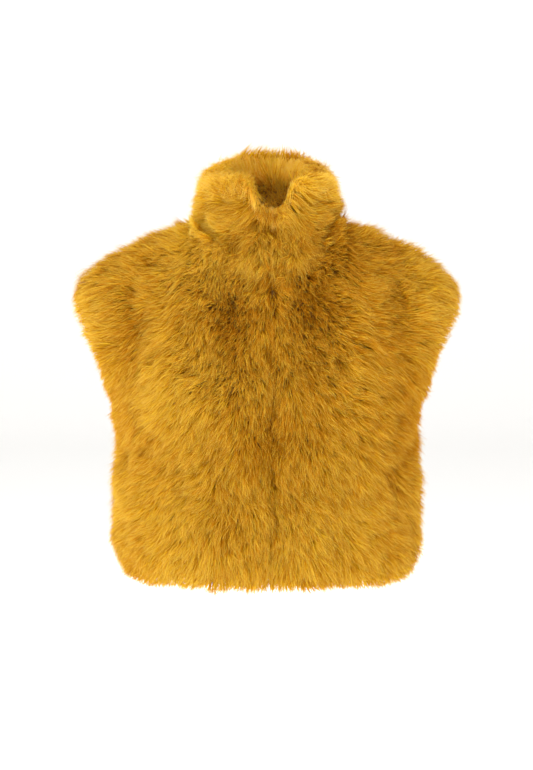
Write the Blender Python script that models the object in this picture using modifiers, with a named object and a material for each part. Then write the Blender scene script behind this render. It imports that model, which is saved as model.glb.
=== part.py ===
"""Cropped faux fur vest with a funnel collar, as worn, with nobody in it.

Metres, +Z up, the front faces -Y and the wearer's left is +X. The origin is between the
shoulders, at the level of the neck, where the wearer holds the vest up.

The vest is cut as two fronts, a back, a collar and the collar's facing. Each is one closed
wall: its plain inside is the back of the cloth, and its outside is where the tips of the
fur reach. The walls are 0.3 mm apart where the pieces are sewn together.
"""

import math
from collections import namedtuple

import bmesh
import bpy
from mathutils import Vector

# The cloth with its fur
PILE = 0.029  # back of the cloth to the tips of the fur
FACING_PILE = 0.033
OVERHANG = 0.022  # fur past the cut edge at the hem and armholes
EDGE_REACH = 0.034  # how far in from a free edge the fur starts to turn round it
EDGE_BLEND = 0.018  # how smoothly that turn follows the edge's own bends
EDGE_TURN = 1.15  # above 1, most of the turn is close to the edge
NECK_REACH = 0.044  # how far from the neck seam the fur of body and collar is squeezed
SEAM_GAP = 0.0003
PANEL_DRAW = 0.55 * SEAM_GAP  # a body panel is drawn back this much from each of its seams
COLLAR_LIFT = 0.8 * SEAM_GAP  # the collar is lifted this much off the neck seam

# The body
HEM_Z = -0.488
UNDERARM_Z = -0.296
CHEST_Z = -0.168  # from here up the cloth curves over the shoulders
CHEST_SAG = 0.008  # the armhole end of the chest line lies this much lower
SAG_POWER = 2.5  # the lines round the chest sag mostly near the armhole
SQUARENESS = 2.5  # exponent of the superellipse round the body
SIDE_SEAM_DEG = 85.0  # measured round the body from the centre front
OPENING_X = 0.008  # the fronts meet a little to the wearer's left of the middle

# The armhole, where it is widest from front to back
ARMHOLE_X = 0.235
ARMHOLE_FRONT_Y = -0.070
ARMHOLE_BACK_Y = 0.074
ARMHOLE_FLARE = 0.75  # below 1, the armhole widens fastest just above the underarm

# The shoulder seam runs from the neck seam to this tip
TIP = Vector((0.274, 0.002, -0.076))
SHOULDER_CROWN = 0.011  # rise of the seam above a straight line
SHOULDER_SPACING = 0.94  # below 1, the seam's points close up towards the tip

# The neck seam
NECK_HALF_WIDTH = 0.098
NECK_FRONT_Y = -0.094
NECK_BACK_Y = 0.084
NECK_SIDE_Z = 0.010
NECK_FRONT_DROP = 0.036
NECK_BACK_RISE = 0.014

# The rim of the collar
RIM_HALF_WIDTH = 0.076
RIM_FRONT_Y = -0.079
RIM_BACK_Y = 0.088
RIM_SIDE_Z = 0.086
RIM_BACK_Z = 0.108
RIM_DIP = 0.042  # how far the rim dips at the front, where its ends fall open
RIM_DIP_WIDTH = 0.026
RIM_SQUARENESS = 2.3
RIM_BACK_RISE = 0.7  # below 1, the rim rises fastest just behind the sides
COLLAR_FLARE = 0.62  # below 1, the collar narrows fastest just above the neck seam
ROLL_FRONT = 0.013  # height of the fur over the rim
ROLL_BACK = 0.025
FACING_OVERHANG = 0.008
COLLAR_SPACING = 1.35  # above 1, the collar's rows close up towards the rim

# How the cloth eases over the shoulders
NECK_SLOPE = 2.0  # how late the centre of the chest and back lean in to the neck seam
EASING_PASSES = 8
FOLD_HANDOVER = 0.09  # depth over which the folds of the front give way to those of the back

# How finely the pieces are divided, and how they are shaded
NECK_COLUMNS = 9
SHOULDER_COLUMNS = 11
SIDE_ROWS = 9
ARMHOLE_ROWS = 7
OVER_SHOULDER_ROWS = 8
COLLAR_ROWS = 9
EDGE_CROWDING = 0.045  # columns close up this much towards the armhole
SMOOTH_DEG = 50.0
COLUMNS = NECK_COLUMNS + SHOULDER_COLUMNS
ROWS = SIDE_ROWS + ARMHOLE_ROWS + OVER_SHOULDER_ROWS

Level = namedtuple("Level", "height half_width front_depth back_depth")
BODY_LEVELS = (
    Level(height=-0.488, half_width=0.205, front_depth=0.127, back_depth=0.116),
    Level(height=-0.430, half_width=0.208, front_depth=0.130, back_depth=0.118),
    Level(height=-0.360, half_width=0.208, front_depth=0.132, back_depth=0.118),
    Level(height=-0.296, half_width=0.205, front_depth=0.136, back_depth=0.117),
    Level(height=-0.230, half_width=0.215, front_depth=0.139, back_depth=0.118),
    Level(height=-0.160, half_width=0.232, front_depth=0.130, back_depth=0.116),
)

# Soft troughs (a plus depth) and ridges (a minus one) of the worn cloth: a line from one
# point of the front or back view to another, how deep it is and how wide
Fold = namedtuple("Fold", "face x0 z0 x1 z1 depth width")
FOLDS = (
    Fold(face="front", x0=-0.176, z0=-0.075, x1=-0.196, z1=-0.215, depth=0.0075, width=0.034),
    Fold(face="front", x0=-0.196, z0=-0.215, x1=-0.182, z1=-0.460, depth=0.0030, width=0.030),
    Fold(face="front", x0=0.180, z0=-0.070, x1=0.194, z1=-0.250, depth=0.0070, width=0.034),
    Fold(face="front", x0=0.194, z0=-0.250, x1=0.194, z1=-0.480, depth=0.0050, width=0.032),
    Fold(face="front", x0=-0.055, z0=-0.085, x1=-0.060, z1=-0.170, depth=0.0070, width=0.045),
    Fold(face="front", x0=0.065, z0=-0.080, x1=0.070, z1=-0.165, depth=0.0070, width=0.045),
    Fold(face="front", x0=0.008, z0=-0.180, x1=0.010, z1=-0.470, depth=0.0040, width=0.026),
    Fold(face="front", x0=-0.135, z0=-0.230, x1=-0.165, z1=-0.440, depth=-0.0050, width=0.045),
    Fold(face="front", x0=0.120, z0=-0.190, x1=0.150, z1=-0.400, depth=-0.0050, width=0.045),
    Fold(face="back", x0=-0.176, z0=-0.080, x1=-0.192, z1=-0.240, depth=0.0065, width=0.035),
    Fold(face="back", x0=0.180, z0=-0.078, x1=0.190, z1=-0.255, depth=0.0070, width=0.035),
    Fold(face="back", x0=-0.030, z0=-0.150, x1=-0.012, z1=-0.440, depth=0.0045, width=0.036),
    Fold(face="back", x0=0.095, z0=-0.210, x1=0.120, z1=-0.450, depth=-0.0045, width=0.045),
    Fold(face="back", x0=-0.120, z0=-0.200, x1=-0.140, z1=-0.420, depth=-0.0050, width=0.045),
)

FUR_COLOUR = (0.547, 0.251, 0.024, 1.0)
FUR_ROUGHNESS = 0.85


def mix(a, b, share):
    """The value or point that lies this share of the way from a to b."""
    return a + (b - a) * share


def signed_power(value, power):
    """A power that keeps the sign of its base."""
    return math.copysign(abs(value) ** power, value)


def level_at(height):
    """The body's half width and depths at a height, on smooth curves through BODY_LEVELS."""
    rows = BODY_LEVELS
    last = len(rows) - 2
    index = next((i for i in range(last) if height < rows[i + 1].height), last)
    low, high = rows[index], rows[index + 1]
    before, after = rows[max(index - 1, 0)], rows[min(index + 2, last + 1)]
    share = min(max((height - low.height) / (high.height - low.height), 0.0), 1.0)
    values = []
    for name in ("half_width", "front_depth", "back_depth"):
        v0, v1, v2, v3 = (getattr(row, name) for row in (before, low, high, after))
        slope_in, slope_out = (v2 - v0) / 2, (v3 - v1) / 2
        cubic = (2 * v1 - 2 * v2 + slope_in + slope_out) * share**3
        square = (3 * v2 - 3 * v1 - 2 * slope_in - slope_out) * share**2
        values.append(cubic + square + slope_in * share + v1)
    return values


def side_seam_point(height):
    """Where the side seam crosses a height, on the wearer's left."""
    half_width, front_depth, _ = level_at(height)
    angle = math.radians(SIDE_SEAM_DEG)
    x = half_width * math.sin(angle) ** (2 / SQUARENESS)
    y = -front_depth * math.cos(angle) ** (2 / SQUARENESS)
    return Vector((x, y, height))


def armhole_point(face, share):
    """A point of the lower armhole edge, from the underarm (0) to the chest line (1)."""
    start = side_seam_point(UNDERARM_Z)
    end_z = CHEST_Z - CHEST_SAG
    turn = math.radians(90 * share)
    up = (share + 1 - math.cos(turn)) / 2
    widest_y = ARMHOLE_FRONT_Y if face == "front" else ARMHOLE_BACK_Y
    x = mix(start.x, ARMHOLE_X, up**ARMHOLE_FLARE)
    return Vector((x, mix(start.y, widest_y, math.sin(turn)), mix(start.z, end_z, up)))


def round_the_body(face, share, end, centre_z, depths):
    """A point of one line round the body, from the centre (0) to its end at the seam or armhole (1)."""
    front_depth, back_depth = depths
    depth = front_depth if end.y < 0 else back_depth
    end_angle = math.acos(signed_power(-end.y / depth, SQUARENESS / 2))
    half_width = end.x / math.sin(end_angle) ** (2 / SQUARENESS)
    start_angle = 0.0 if face == "front" else math.pi
    angle = mix(start_angle, end_angle, share)
    cosine = math.cos(angle)
    x = half_width * abs(math.sin(angle)) ** (2 / SQUARENESS)
    y = -signed_power(cosine, 2 / SQUARENESS) * (front_depth if cosine > 0 else back_depth)
    return Vector((x, y, mix(centre_z, end.z, share**SAG_POWER)))


def neck_seam_point(turn_deg):
    """A point of the neck seam, 0 degrees at the centre front and 180 at the centre back."""
    turn = math.radians(turn_deg)
    cosine = math.cos(turn)
    y = cosine * (NECK_FRONT_Y if cosine > 0 else -NECK_BACK_Y)
    rise = -NECK_FRONT_DROP if cosine > 0 else NECK_BACK_RISE
    return Vector((NECK_HALF_WIDTH * math.sin(turn), y, NECK_SIDE_Z + rise * cosine**2))


def top_point(face, column):
    """The upper end of a column: on the neck seam, and then on the shoulder seam."""
    if column <= NECK_COLUMNS:
        quarter = 90 * column / NECK_COLUMNS
        return neck_seam_point(quarter if face == "front" else 180 - quarter)
    share = (column - NECK_COLUMNS) / SHOULDER_COLUMNS
    point = mix(neck_seam_point(90), TIP, share**SHOULDER_SPACING)
    point.z += SHOULDER_CROWN * math.sin(math.pi * share)
    return point


def column_share(column):
    """Columns are even over the body and close up towards the armhole, where the fur turns."""
    share = column / COLUMNS
    return share + EDGE_CROWDING * math.sin(math.pi * share) * share


def body_point(face, column, row):
    """A point of the cloth's back on the wearer's left half, before its folds."""
    share = column_share(column)
    if row <= SIDE_ROWS:
        up = (row / SIDE_ROWS + (1 - math.cos(math.pi * row / SIDE_ROWS)) / 2) / 2
        end = side_seam_point(mix(HEM_Z, UNDERARM_Z, up))
        return round_the_body(face, share, end, end.z, level_at(end.z)[1:])
    if row <= SIDE_ROWS + ARMHOLE_ROWS:
        up = (row - SIDE_ROWS) / ARMHOLE_ROWS
        end = armhole_point(face, up)
        centre_z = mix(UNDERARM_Z, CHEST_Z, up)
        return round_the_body(face, share, end, centre_z, level_at(centre_z)[1:])
    up = math.sin(math.radians(90) * (row - SIDE_ROWS - ARMHOLE_ROWS) / OVER_SHOULDER_ROWS)
    chest = body_point(face, column, SIDE_ROWS + ARMHOLE_ROWS)
    top = top_point(face, column)
    point = mix(chest, top, up)
    towards_shoulder = min(column / NECK_COLUMNS, 1.0) ** 2
    sloped = up**NECK_SLOPE
    rounded = 1 - math.sqrt(1 - up * up)
    point.y = mix(chest.y, top.y, mix(sloped, rounded, towards_shoulder))
    return point


def eased_across(grid):
    """The same rows, with the corner where the neck and shoulder seams meet eased out below it."""
    for _ in range(EASING_PASSES):
        for row in range(SIDE_ROWS + ARMHOLE_ROWS + 1, ROWS):
            below_seam = math.cos(math.radians(90) * (row - SIDE_ROWS - ARMHOLE_ROWS) / OVER_SHOULDER_ROWS)
            line = grid[row]
            grid[row] = [line[0]]
            for column in range(1, COLUMNS):
                middle = (line[column - 1] + line[column + 1]) / 2
                grid[row].append(mix(line[column], middle, 0.5 * below_seam**3))
            grid[row].append(line[-1])
    return grid


def fold_depth(face, point):
    """How far the cloth is pressed in by the folds at a point."""
    total = 0.0
    for fold in FOLDS:
        if fold.face != face:
            continue
        along = Vector((fold.x1 - fold.x0, fold.z1 - fold.z0))
        to_point = Vector((point.x - fold.x0, point.z - fold.z0))
        share = min(max(to_point.dot(along) / along.length_squared, 0.0), 1.0)
        off_line = (to_point - along * share).length
        total += fold.depth * math.exp(-((off_line / fold.width) ** 2))
    return total


def folds_at(point):
    """The folds of the front and the back, run into each other over the shoulders and sides."""
    front_share = min(max(0.5 - point.y / FOLD_HANDOVER, 0.0), 1.0)
    front_share = front_share * front_share * (3 - 2 * front_share)
    return mix(fold_depth("back", point), fold_depth("front", point), front_share)


def grid_normals(grid):
    """The direction square to a grid at each point, from the faces that meet there, by their area."""
    normals = [[Vector() for _ in line] for line in grid]
    for row in range(len(grid) - 1):
        for column in range(len(grid[0]) - 1):
            rising = grid[row + 1][column + 1] - grid[row][column]
            falling = grid[row + 1][column] - grid[row][column + 1]
            area = rising.cross(falling)
            for r, c in ((row, column), (row, column + 1), (row + 1, column), (row + 1, column + 1)):
                normals[r][c] += area
    return [[normal.normalized() for normal in line] for line in normals]


def faced_out(normals, grid):
    """The same normals, turned so that they point away from the body's middle."""
    middle_row, middle_column = len(grid) // 3, len(grid[0]) // 2
    point = grid[middle_row][middle_column]
    outward = Vector((point.x, point.y, 0.0))
    if normals[middle_row][middle_column].dot(outward) > 0:
        return normals
    return [[-normal for normal in line] for line in normals]


def shared_normals(halves):
    """Normals of the four half panels, the same for both panels along each seam."""
    normals = {key: faced_out(grid_normals(grid), grid) for key, grid in halves.items()}
    for side in (1, -1):
        front, back = normals["front", side], normals["back", side]
        seam = [(row, COLUMNS) for row in range(SIDE_ROWS + 1)]
        seam += [(ROWS, column) for column in range(NECK_COLUMNS, COLUMNS + 1)]
        for row, column in seam:
            both = (front[row][column] + back[row][column]).normalized()
            front[row][column] = both
            back[row][column] = both.copy()
        for face in ("front", "back"):
            for line in normals[face, side]:
                line[0].x = 0.0
                line[0].normalize()
    return normals


def body_halves():
    """The cloth's back as four half panels, with their folds: rows from the hem up."""
    halves = {}
    for face in ("front", "back"):
        for side in (1, -1):
            rows = range(ROWS + 1)
            columns = range(COLUMNS + 1)
            plain = eased_across([[body_point(face, column, row) for column in columns] for row in rows])
            grid = []
            for row in rows:
                line = []
                for column in columns:
                    point = plain[row][column]
                    if face == "front":
                        point.x += side * OPENING_X * max(0.0, 1 - column / NECK_COLUMNS) ** 2
                    line.append(Vector((side * point.x, point.y, point.z)))
                grid.append(line)
            halves[face, side] = grid
    normals = shared_normals(halves)
    for key, grid in halves.items():
        for row, line in enumerate(grid):
            for column, point in enumerate(line):
                at_neck = row == ROWS and column <= NECK_COLUMNS
                if not at_neck:
                    line[column] = point - normals[key][row][column] * folds_at(point)
    for row in range(ROWS + 1):
        halves["back", -1][row][0] = halves["back", 1][row][0].copy()
        halves["front", -1][row][0] = halves["front", 1][row][0].copy()
    return halves


def neck_ring(halves):
    """The neck seam as a ring: from the centre front by +X to the centre back, and on by -X."""
    ring = []
    quarters = ((1, "front", False), (1, "back", True), (-1, "back", False), (-1, "front", True))
    for side, face, backwards in quarters:
        line = [(face, side, column) for column in range(NECK_COLUMNS + 1)]
        if backwards:
            line.reverse()
        ring += line if not ring else line[1:]
    return ring, [halves[face, side][ROWS][column] for face, side, column in ring]


def rim_point(turn_deg):
    """A point of the collar's rim, where the collar folds over into its facing."""
    turn = math.radians(turn_deg)
    cosine = math.cos(turn)
    middle = (RIM_FRONT_Y + RIM_BACK_Y) / 2
    x = RIM_HALF_WIDTH * signed_power(math.sin(turn), 2 / RIM_SQUARENESS)
    if cosine > 0:
        z = RIM_SIDE_Z - RIM_DIP * math.exp(-((x / RIM_DIP_WIDTH) ** 4))
    else:
        z = mix(RIM_SIDE_Z, RIM_BACK_Z, (-cosine) ** RIM_BACK_RISE)
    y = middle - (RIM_BACK_Y - middle) * signed_power(cosine, 2 / RIM_SQUARENESS)
    return Vector((x + OPENING_X * max(cosine, 0.0) ** 2, y, z))


def collar_grid(ring_points):
    """The collar's cloth: rows from the neck seam up to the rim, columns round the ring."""
    count = len(ring_points) - 1
    grid = []
    for row in range(COLLAR_ROWS + 1):
        up = 1 - (1 - row / COLLAR_ROWS) ** COLLAR_SPACING
        line = []
        for column, base in enumerate(ring_points):
            rim = rim_point(360 * column / count)
            point = mix(base, rim, up**COLLAR_FLARE)
            point.z = mix(base.z, rim.z, up)
            line.append(point)
        grid.append(line)
    return grid


def collar_normals(grid):
    """Outward directions of the collar, even across its open ends."""
    normals = faced_out(grid_normals(grid), grid)
    for line in normals:
        for end in (0, -1):
            line[end].x = 0.0
            line[end].normalize()
    return normals


def free_edges(halves, normals):
    """Each stretch of the hem and armholes, as two points with the way that fur hangs off there."""
    lines = []
    for side in (1, -1):
        rows = range(SIDE_ROWS, ROWS + 1)
        loop = [("front", row) for row in rows] + [("back", row) for row in reversed(rows)][1:-1]
        points = [halves[face, side][row][COLUMNS] for face, row in loop]
        middle = sum(points, Vector()) / len(points)
        line = []
        for index, (face, row) in enumerate(loop):
            tangent = points[(index + 1) % len(points)] - points[index - 1]
            way = tangent.cross(normals[face, side][row][COLUMNS]).normalized()
            if way.dot(middle - points[index]) < 0:
                way.negate()
            line.append((points[index], way))
        lines.append(line + line[:1])
    for grid in halves.values():
        lines.append([(low, (low - high).normalized()) for low, high in zip(grid[0], grid[1])])
    return [stretch for line in lines for stretch in zip(line, line[1:])]


def nearest_edge(point, edges):
    """How far a point is from a free edge, and the way that the fur hangs off there."""
    found = []
    for (start, start_way), (end, end_way) in edges:
        along = end - start
        share = min(max((point - start).dot(along) / along.length_squared, 0.0), 1.0)
        found.append(((start + along * share - point).length, mix(start_way, end_way, share)))
    nearest = min(distance for distance, _ in found)
    ways = (way * math.exp((nearest - distance) / EDGE_BLEND) for distance, way in found)
    return nearest, sum(ways, Vector()).normalized()


def edge_turn(distance):
    """How far the fur has turned round a free edge at a distance from it: 1 at the edge itself."""
    return max(0.0, 1 - distance / EDGE_REACH) ** EDGE_TURN


def pile_offset(point, normal, edges, neck):
    """From the back of the cloth to the tips of the fur at one point of the body."""
    distance, way = nearest_edge(point, edges)
    angle = math.radians(90 * edge_turn(distance))
    offset = normal * (PILE * math.cos(angle)) + way * (OVERHANG * math.sin(angle))
    seam, mitre = min(neck, key=lambda pair: (pair[0] - point).length_squared)
    squeeze = max(0.0, 1 - (seam - point).length / NECK_REACH)
    return mix(offset, mitre, squeeze)


def neck_mitres(ring, normals, neck_normals):
    """From each point of the neck seam to where the fur of the body and the collar meet."""
    mitres = []
    for (face, side, column), collar_normal in zip(ring, neck_normals):
        body_normal = normals[face, side][ROWS][column]
        both = body_normal + collar_normal
        mitres.append(both * (PILE / (1 + body_normal.dot(collar_normal))))
    return mitres


def draw_back(inside, outside, row, column, towards_row, towards_column):
    """Draws one border point of a wall back from its seam, on the inside and the outside."""
    away = inside[towards_row][towards_column] - inside[row][column]
    step = away.normalized() * PANEL_DRAW
    inside[row][column] = inside[row][column] + step
    outside[row][column] = outside[row][column] + step


def part_seams(inside, outside, side_seams):
    """Draws a body panel back from its side seams, given as (border, inner) columns, and its top."""
    for border, inner in side_seams:
        for row in range(SIDE_ROWS + 1):
            draw_back(inside, outside, row, border, row, inner)
    for column in range(len(inside[0])):
        draw_back(inside, outside, ROWS, column, ROWS - 1, column)


def bent_grid(name, points):
    """A grid object with its points on the given rows."""
    rows, columns = len(points), len(points[0])
    bm = bmesh.new()
    bmesh.ops.create_grid(bm, x_segments=columns - 1, y_segments=rows - 1, size=1.0)
    ordered = sorted(bm.verts, key=lambda vert: (round(vert.co.y, 4), vert.co.x))
    for index, vert in enumerate(ordered):
        vert.co = points[index // columns][index % columns]
        vert.index = index
    bm.verts.sort()
    mesh = bpy.data.meshes.new(name)
    bm.to_mesh(mesh)
    bm.free()
    return bpy.data.objects.new(name, mesh)


def seam_order(vert):
    """Rises steadily along every seam, so that both sides of one agree which point comes first."""
    return math.atan2(abs(vert.co.x), -vert.co.y) + 4 * vert.co.z


def split_border(bm, outer_count):
    """Splits each border face, from an inner point to an outer one, the same way on both sides of a seam."""
    for face in [f for f in bm.faces if len({v.index < outer_count for v in f.verts}) == 2]:
        first, last = sorted((v for v in face.verts if v.index >= outer_count), key=seam_order)
        beyond = (edge.other_vert(last) for edge in last.link_edges)
        across = next(v for v in beyond if v.index < outer_count and v in face.verts)
        bmesh.utils.face_split(face, first, across)


def fur_wall(name, inside, outside, material, collection):
    """A closed wall: a grid bent onto the body, given thickness, with its outer points on the fur's tips."""
    guide = bent_grid(name + "_guide", outside)
    collection.objects.link(guide)
    solidify = guide.modifiers.new("wall", "SOLIDIFY")
    solidify.thickness = PILE
    solidify.offset = -1.0
    depsgraph = bpy.context.evaluated_depsgraph_get()
    mesh = bpy.data.meshes.new_from_object(guide.evaluated_get(depsgraph))
    bpy.data.objects.remove(guide)
    mesh.name = name
    inner_points = [point for line in inside for point in line]
    count = len(inner_points)
    bm = bmesh.new()
    bm.from_mesh(mesh)
    bm.verts.ensure_lookup_table()
    bm.verts.index_update()
    for vert, point in zip(bm.verts[count:], inner_points):
        vert.co = point
    split_border(bm, count)
    bmesh.ops.triangulate(bm, faces=[f for f in bm.faces if len(f.verts) > 3], quad_method="FIXED")
    if bm.calc_volume(signed=True) < 0:
        bmesh.ops.reverse_faces(bm, faces=bm.faces)
    bm.to_mesh(mesh)
    bm.free()
    mesh.shade_smooth()
    mesh.set_sharp_from_angle(angle=math.radians(SMOOTH_DEG))
    mesh.materials.clear()
    mesh.materials.append(material)
    panel = bpy.data.objects.new(name, mesh)
    collection.objects.link(panel)
    return panel


def fur_material(name):
    """Mustard faux fur: matt, and not metallic."""
    material = bpy.data.materials.new(name)
    material.use_nodes = True
    shader = material.node_tree.nodes["Principled BSDF"]
    shader.inputs["Base Color"].default_value = FUR_COLOUR
    shader.inputs["Roughness"].default_value = FUR_ROUGHNESS
    shader.inputs["Metallic"].default_value = 0.0
    material.diffuse_color = FUR_COLOUR
    return material


def front_panel(name, side, halves, tips, collection):
    """One front, from the centre front opening to the side seam and armhole."""
    inside = [[point.copy() for point in line] for line in halves["front", side]]
    outside = [[point.copy() for point in line] for line in tips["front", side]]
    for row in range(ROWS + 1):
        for points in (inside, outside):
            points[row][0].x = OPENING_X + side * SEAM_GAP / 2
    part_seams(inside, outside, [(COLUMNS, COLUMNS - 1)])
    return fur_wall(name, inside, outside, fur_material(name), collection)


def back_panel(name, halves, tips, collection):
    """The back, in one piece from one side seam and armhole to the other."""
    inside, outside = [], []
    for row in range(ROWS + 1):
        for source, made in ((halves, inside), (tips, outside)):
            left, right = source["back", -1][row], source["back", 1][row]
            made.append([point.copy() for point in reversed(left[1:])] + [point.copy() for point in right])
    last = 2 * COLUMNS
    part_seams(inside, outside, [(0, 1), (last, last - 1)])
    return fur_wall(name, inside, outside, fur_material(name), collection)


def roll_height(turn_deg):
    """Height of the fur over the rim, lowest at the front, where it parts."""
    return mix(ROLL_BACK, ROLL_FRONT, (1 + math.cos(math.radians(turn_deg))) / 2)


def part_ends(*grids):
    """Opens the collar's ends at the centre front by the seam gap."""
    for grid in grids:
        for line in grid:
            line[0].x = OPENING_X + SEAM_GAP / 2
            line[-1].x = OPENING_X - SEAM_GAP / 2


def collar_walls(grid, normals, mitres, collection):
    """The collar and its facing, back to back, with their fur rolled over the rim between them."""
    count = len(grid[0]) - 1
    sizes = (("collar", 1, PILE), ("collar_facing", -1, FACING_PILE))
    for name, way, pile in sizes:
        inside, outside = [], []
        for row, line in enumerate(grid):
            inside_row, outside_row = [], []
            for column, point in enumerate(line):
                normal = normals[row][column] * way
                rim = grid[-1][column]
                roll = roll_height(360 * column / count)
                angle = math.radians(90 * edge_turn((rim - point).length))
                offset = normal * (pile * math.cos(angle)) + Vector((0, 0, roll * math.sin(angle)))
                base = grid[0][column]
                if way > 0:
                    squeeze = max(0.0, 1 - (base - point).length / NECK_REACH)
                    offset = mix(offset, mitres[column], squeeze)
                else:
                    offset -= Vector((0, 0, FACING_OVERHANG * edge_turn((base - point).length)))
                apart = normal * (SEAM_GAP / 2)
                inside_row.append(point + apart)
                outside_row.append(point + apart + offset)
            inside.append(inside_row)
            outside.append(outside_row)
        if way > 0:
            for points in (inside, outside):
                points[0] = [point + Vector((0, 0, COLLAR_LIFT)) for point in points[0]]
        part_ends(inside, outside)
        fur_wall(name, inside, outside, fur_material(name), collection)


def main():
    """Clears the scene and makes the vest in its own collection."""
    for old in list(bpy.data.objects):
        bpy.data.objects.remove(old)
    collection = bpy.data.collections.new("faux_fur_vest")
    bpy.context.scene.collection.children.link(collection)

    halves = body_halves()
    normals = shared_normals(halves)
    ring, ring_points = neck_ring(halves)
    collar = collar_grid(ring_points)
    round_collar = collar_normals(collar)
    mitres = neck_mitres(ring, normals, round_collar[0])
    neck = list(zip(ring_points, mitres))
    edges = free_edges(halves, normals)

    tips = {}
    for key, grid in halves.items():
        tips[key] = [
            [point + pile_offset(point, normals[key][r][c], edges, neck) for c, point in enumerate(line)]
            for r, line in enumerate(grid)
        ]

    front_panel("front_left", 1, halves, tips, collection)
    front_panel("front_right", -1, halves, tips, collection)
    back_panel("back", halves, tips, collection)
    collar_walls(collar, round_collar, mitres, collection)


main()
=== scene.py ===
"""Cropped mustard faux fur vest: its cloth, its pile and the studio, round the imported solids.

Metres, +Z up, the front faces -Y and the wearer's left is +X, as in the part. Each panel is a
thin knitted backing, cut and sewn as the part's solid says, and its pile is thousands of fine
tapered strands in locks, which grow on that backing and lie the way they are combed.
"""

import logging
import math
from dataclasses import dataclass
from enum import Enum

import bpy
import numpy as np
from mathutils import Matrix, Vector


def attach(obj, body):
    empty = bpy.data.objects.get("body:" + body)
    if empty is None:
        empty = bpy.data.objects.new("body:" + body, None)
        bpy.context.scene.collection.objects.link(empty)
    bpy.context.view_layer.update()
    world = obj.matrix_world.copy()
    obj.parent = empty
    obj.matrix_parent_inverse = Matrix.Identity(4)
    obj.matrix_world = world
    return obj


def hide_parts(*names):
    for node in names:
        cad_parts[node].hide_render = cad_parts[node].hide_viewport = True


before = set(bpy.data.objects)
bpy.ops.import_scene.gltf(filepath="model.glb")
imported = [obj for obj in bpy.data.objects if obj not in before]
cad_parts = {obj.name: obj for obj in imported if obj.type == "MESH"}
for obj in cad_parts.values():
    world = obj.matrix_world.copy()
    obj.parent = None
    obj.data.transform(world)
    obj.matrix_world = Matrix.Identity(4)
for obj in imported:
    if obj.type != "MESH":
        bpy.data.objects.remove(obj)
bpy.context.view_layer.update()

LOG = logging.getLogger("fur_vest")
MAP_NAME = "OFBake"
WAVES = 14  # how many waves drift() adds up
WAVE_SUM = 3.2  # about as high as they reach together
ONE_WAVE = math.pi / 10  # the wave texture's scale for one wave to a unit

Array = np.ndarray
Stops = tuple[tuple[float, str], ...]  # places from 0 to 1, each with a hex colour


class Face(Enum):
    """Which side of the body a half panel lies on."""

    FRONT = "front"
    BACK = "back"


class Side(Enum):
    """The wearer's left is +X."""

    LEFT = 1
    RIGHT = -1


Halves = dict[tuple[Face, Side], Array]


# ---------------------------------------------------------------- small helpers


def linear(hex_colour: str) -> tuple[float, float, float, float]:
    """Turns an sRGB hex colour into a linear one.

    Args:
        hex_colour: six hex digits, such as "C08A1A".

    Returns:
        Linear red, green, blue and an alpha of 1.
    """
    parts = [int(hex_colour[i : i + 2], 16) / 255 for i in (0, 2, 4)]
    red, green, blue = (c / 12.92 if c <= 0.04045 else ((c + 0.055) / 1.055) ** 2.4 for c in parts)
    return red, green, blue, 1.0


def mixed(a: Array, b: Array, share: Array | float) -> Array:
    """The value that lies this share of the way from a to b."""
    return a + (b - a) * share


def signed_power(value: Array | float, power: float) -> Array:
    """A power that keeps the sign of its base."""
    return np.sign(value) * np.abs(value) ** power


def unit(vectors: Array) -> Array:
    """The same vectors, each one metre long."""
    return vectors / np.maximum(np.linalg.norm(vectors, axis=-1, keepdims=True), 1e-12)


def dot(a: Array, b: Array) -> Array:
    """The dot product of each pair of vectors, kept as a last axis of one."""
    return np.sum(a * b, axis=-1, keepdims=True)


def smooth(share: Array) -> Array:
    """Eases a share from 0 to 1 in and out."""
    share = np.clip(share, 0.0, 1.0)
    return share * share * (3 - 2 * share)


def drift(points: Array, size: float, seed: int) -> Array:
    """A soft random value from about -1 to 1 that drifts from place to place.

    Args:
        points: places, (..., 3), in metres.
        size: how far apart a high and a low are, in metres.
        seed: which of the endless patterns is used.

    Returns:
        One value for each place.
    """
    rng = np.random.default_rng(seed)
    ways = unit(rng.normal(size=(WAVES, 3))) * rng.uniform(0.6, 1.5, (WAVES, 1)) * math.pi / size
    phases = rng.uniform(0, 2 * math.pi, WAVES)
    return np.sin(points @ ways.T + phases).sum(-1) / WAVE_SUM


def grid_normals(grid: Array) -> Array:
    """The normal at each point of a grid, by the area of the faces that meet there."""
    area = np.cross(grid[1:, 1:] - grid[:-1, :-1], grid[1:, :-1] - grid[:-1, 1:])
    normals = np.zeros_like(grid)
    ends = slice(None, -1), slice(1, None)
    for rows in ends:
        for columns in ends:
            normals[rows, columns] += area
    return unit(normals)


def faced_out(normals: Array, grid: Array) -> Array:
    """The same normals, turned so that they point away from the body's middle."""
    row, column = len(grid) // 3, len(grid[0]) // 2
    x, y, _ = grid[row, column]
    return normals if normals[row, column] @ (x, y, 0.0) > 0 else -normals


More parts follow.
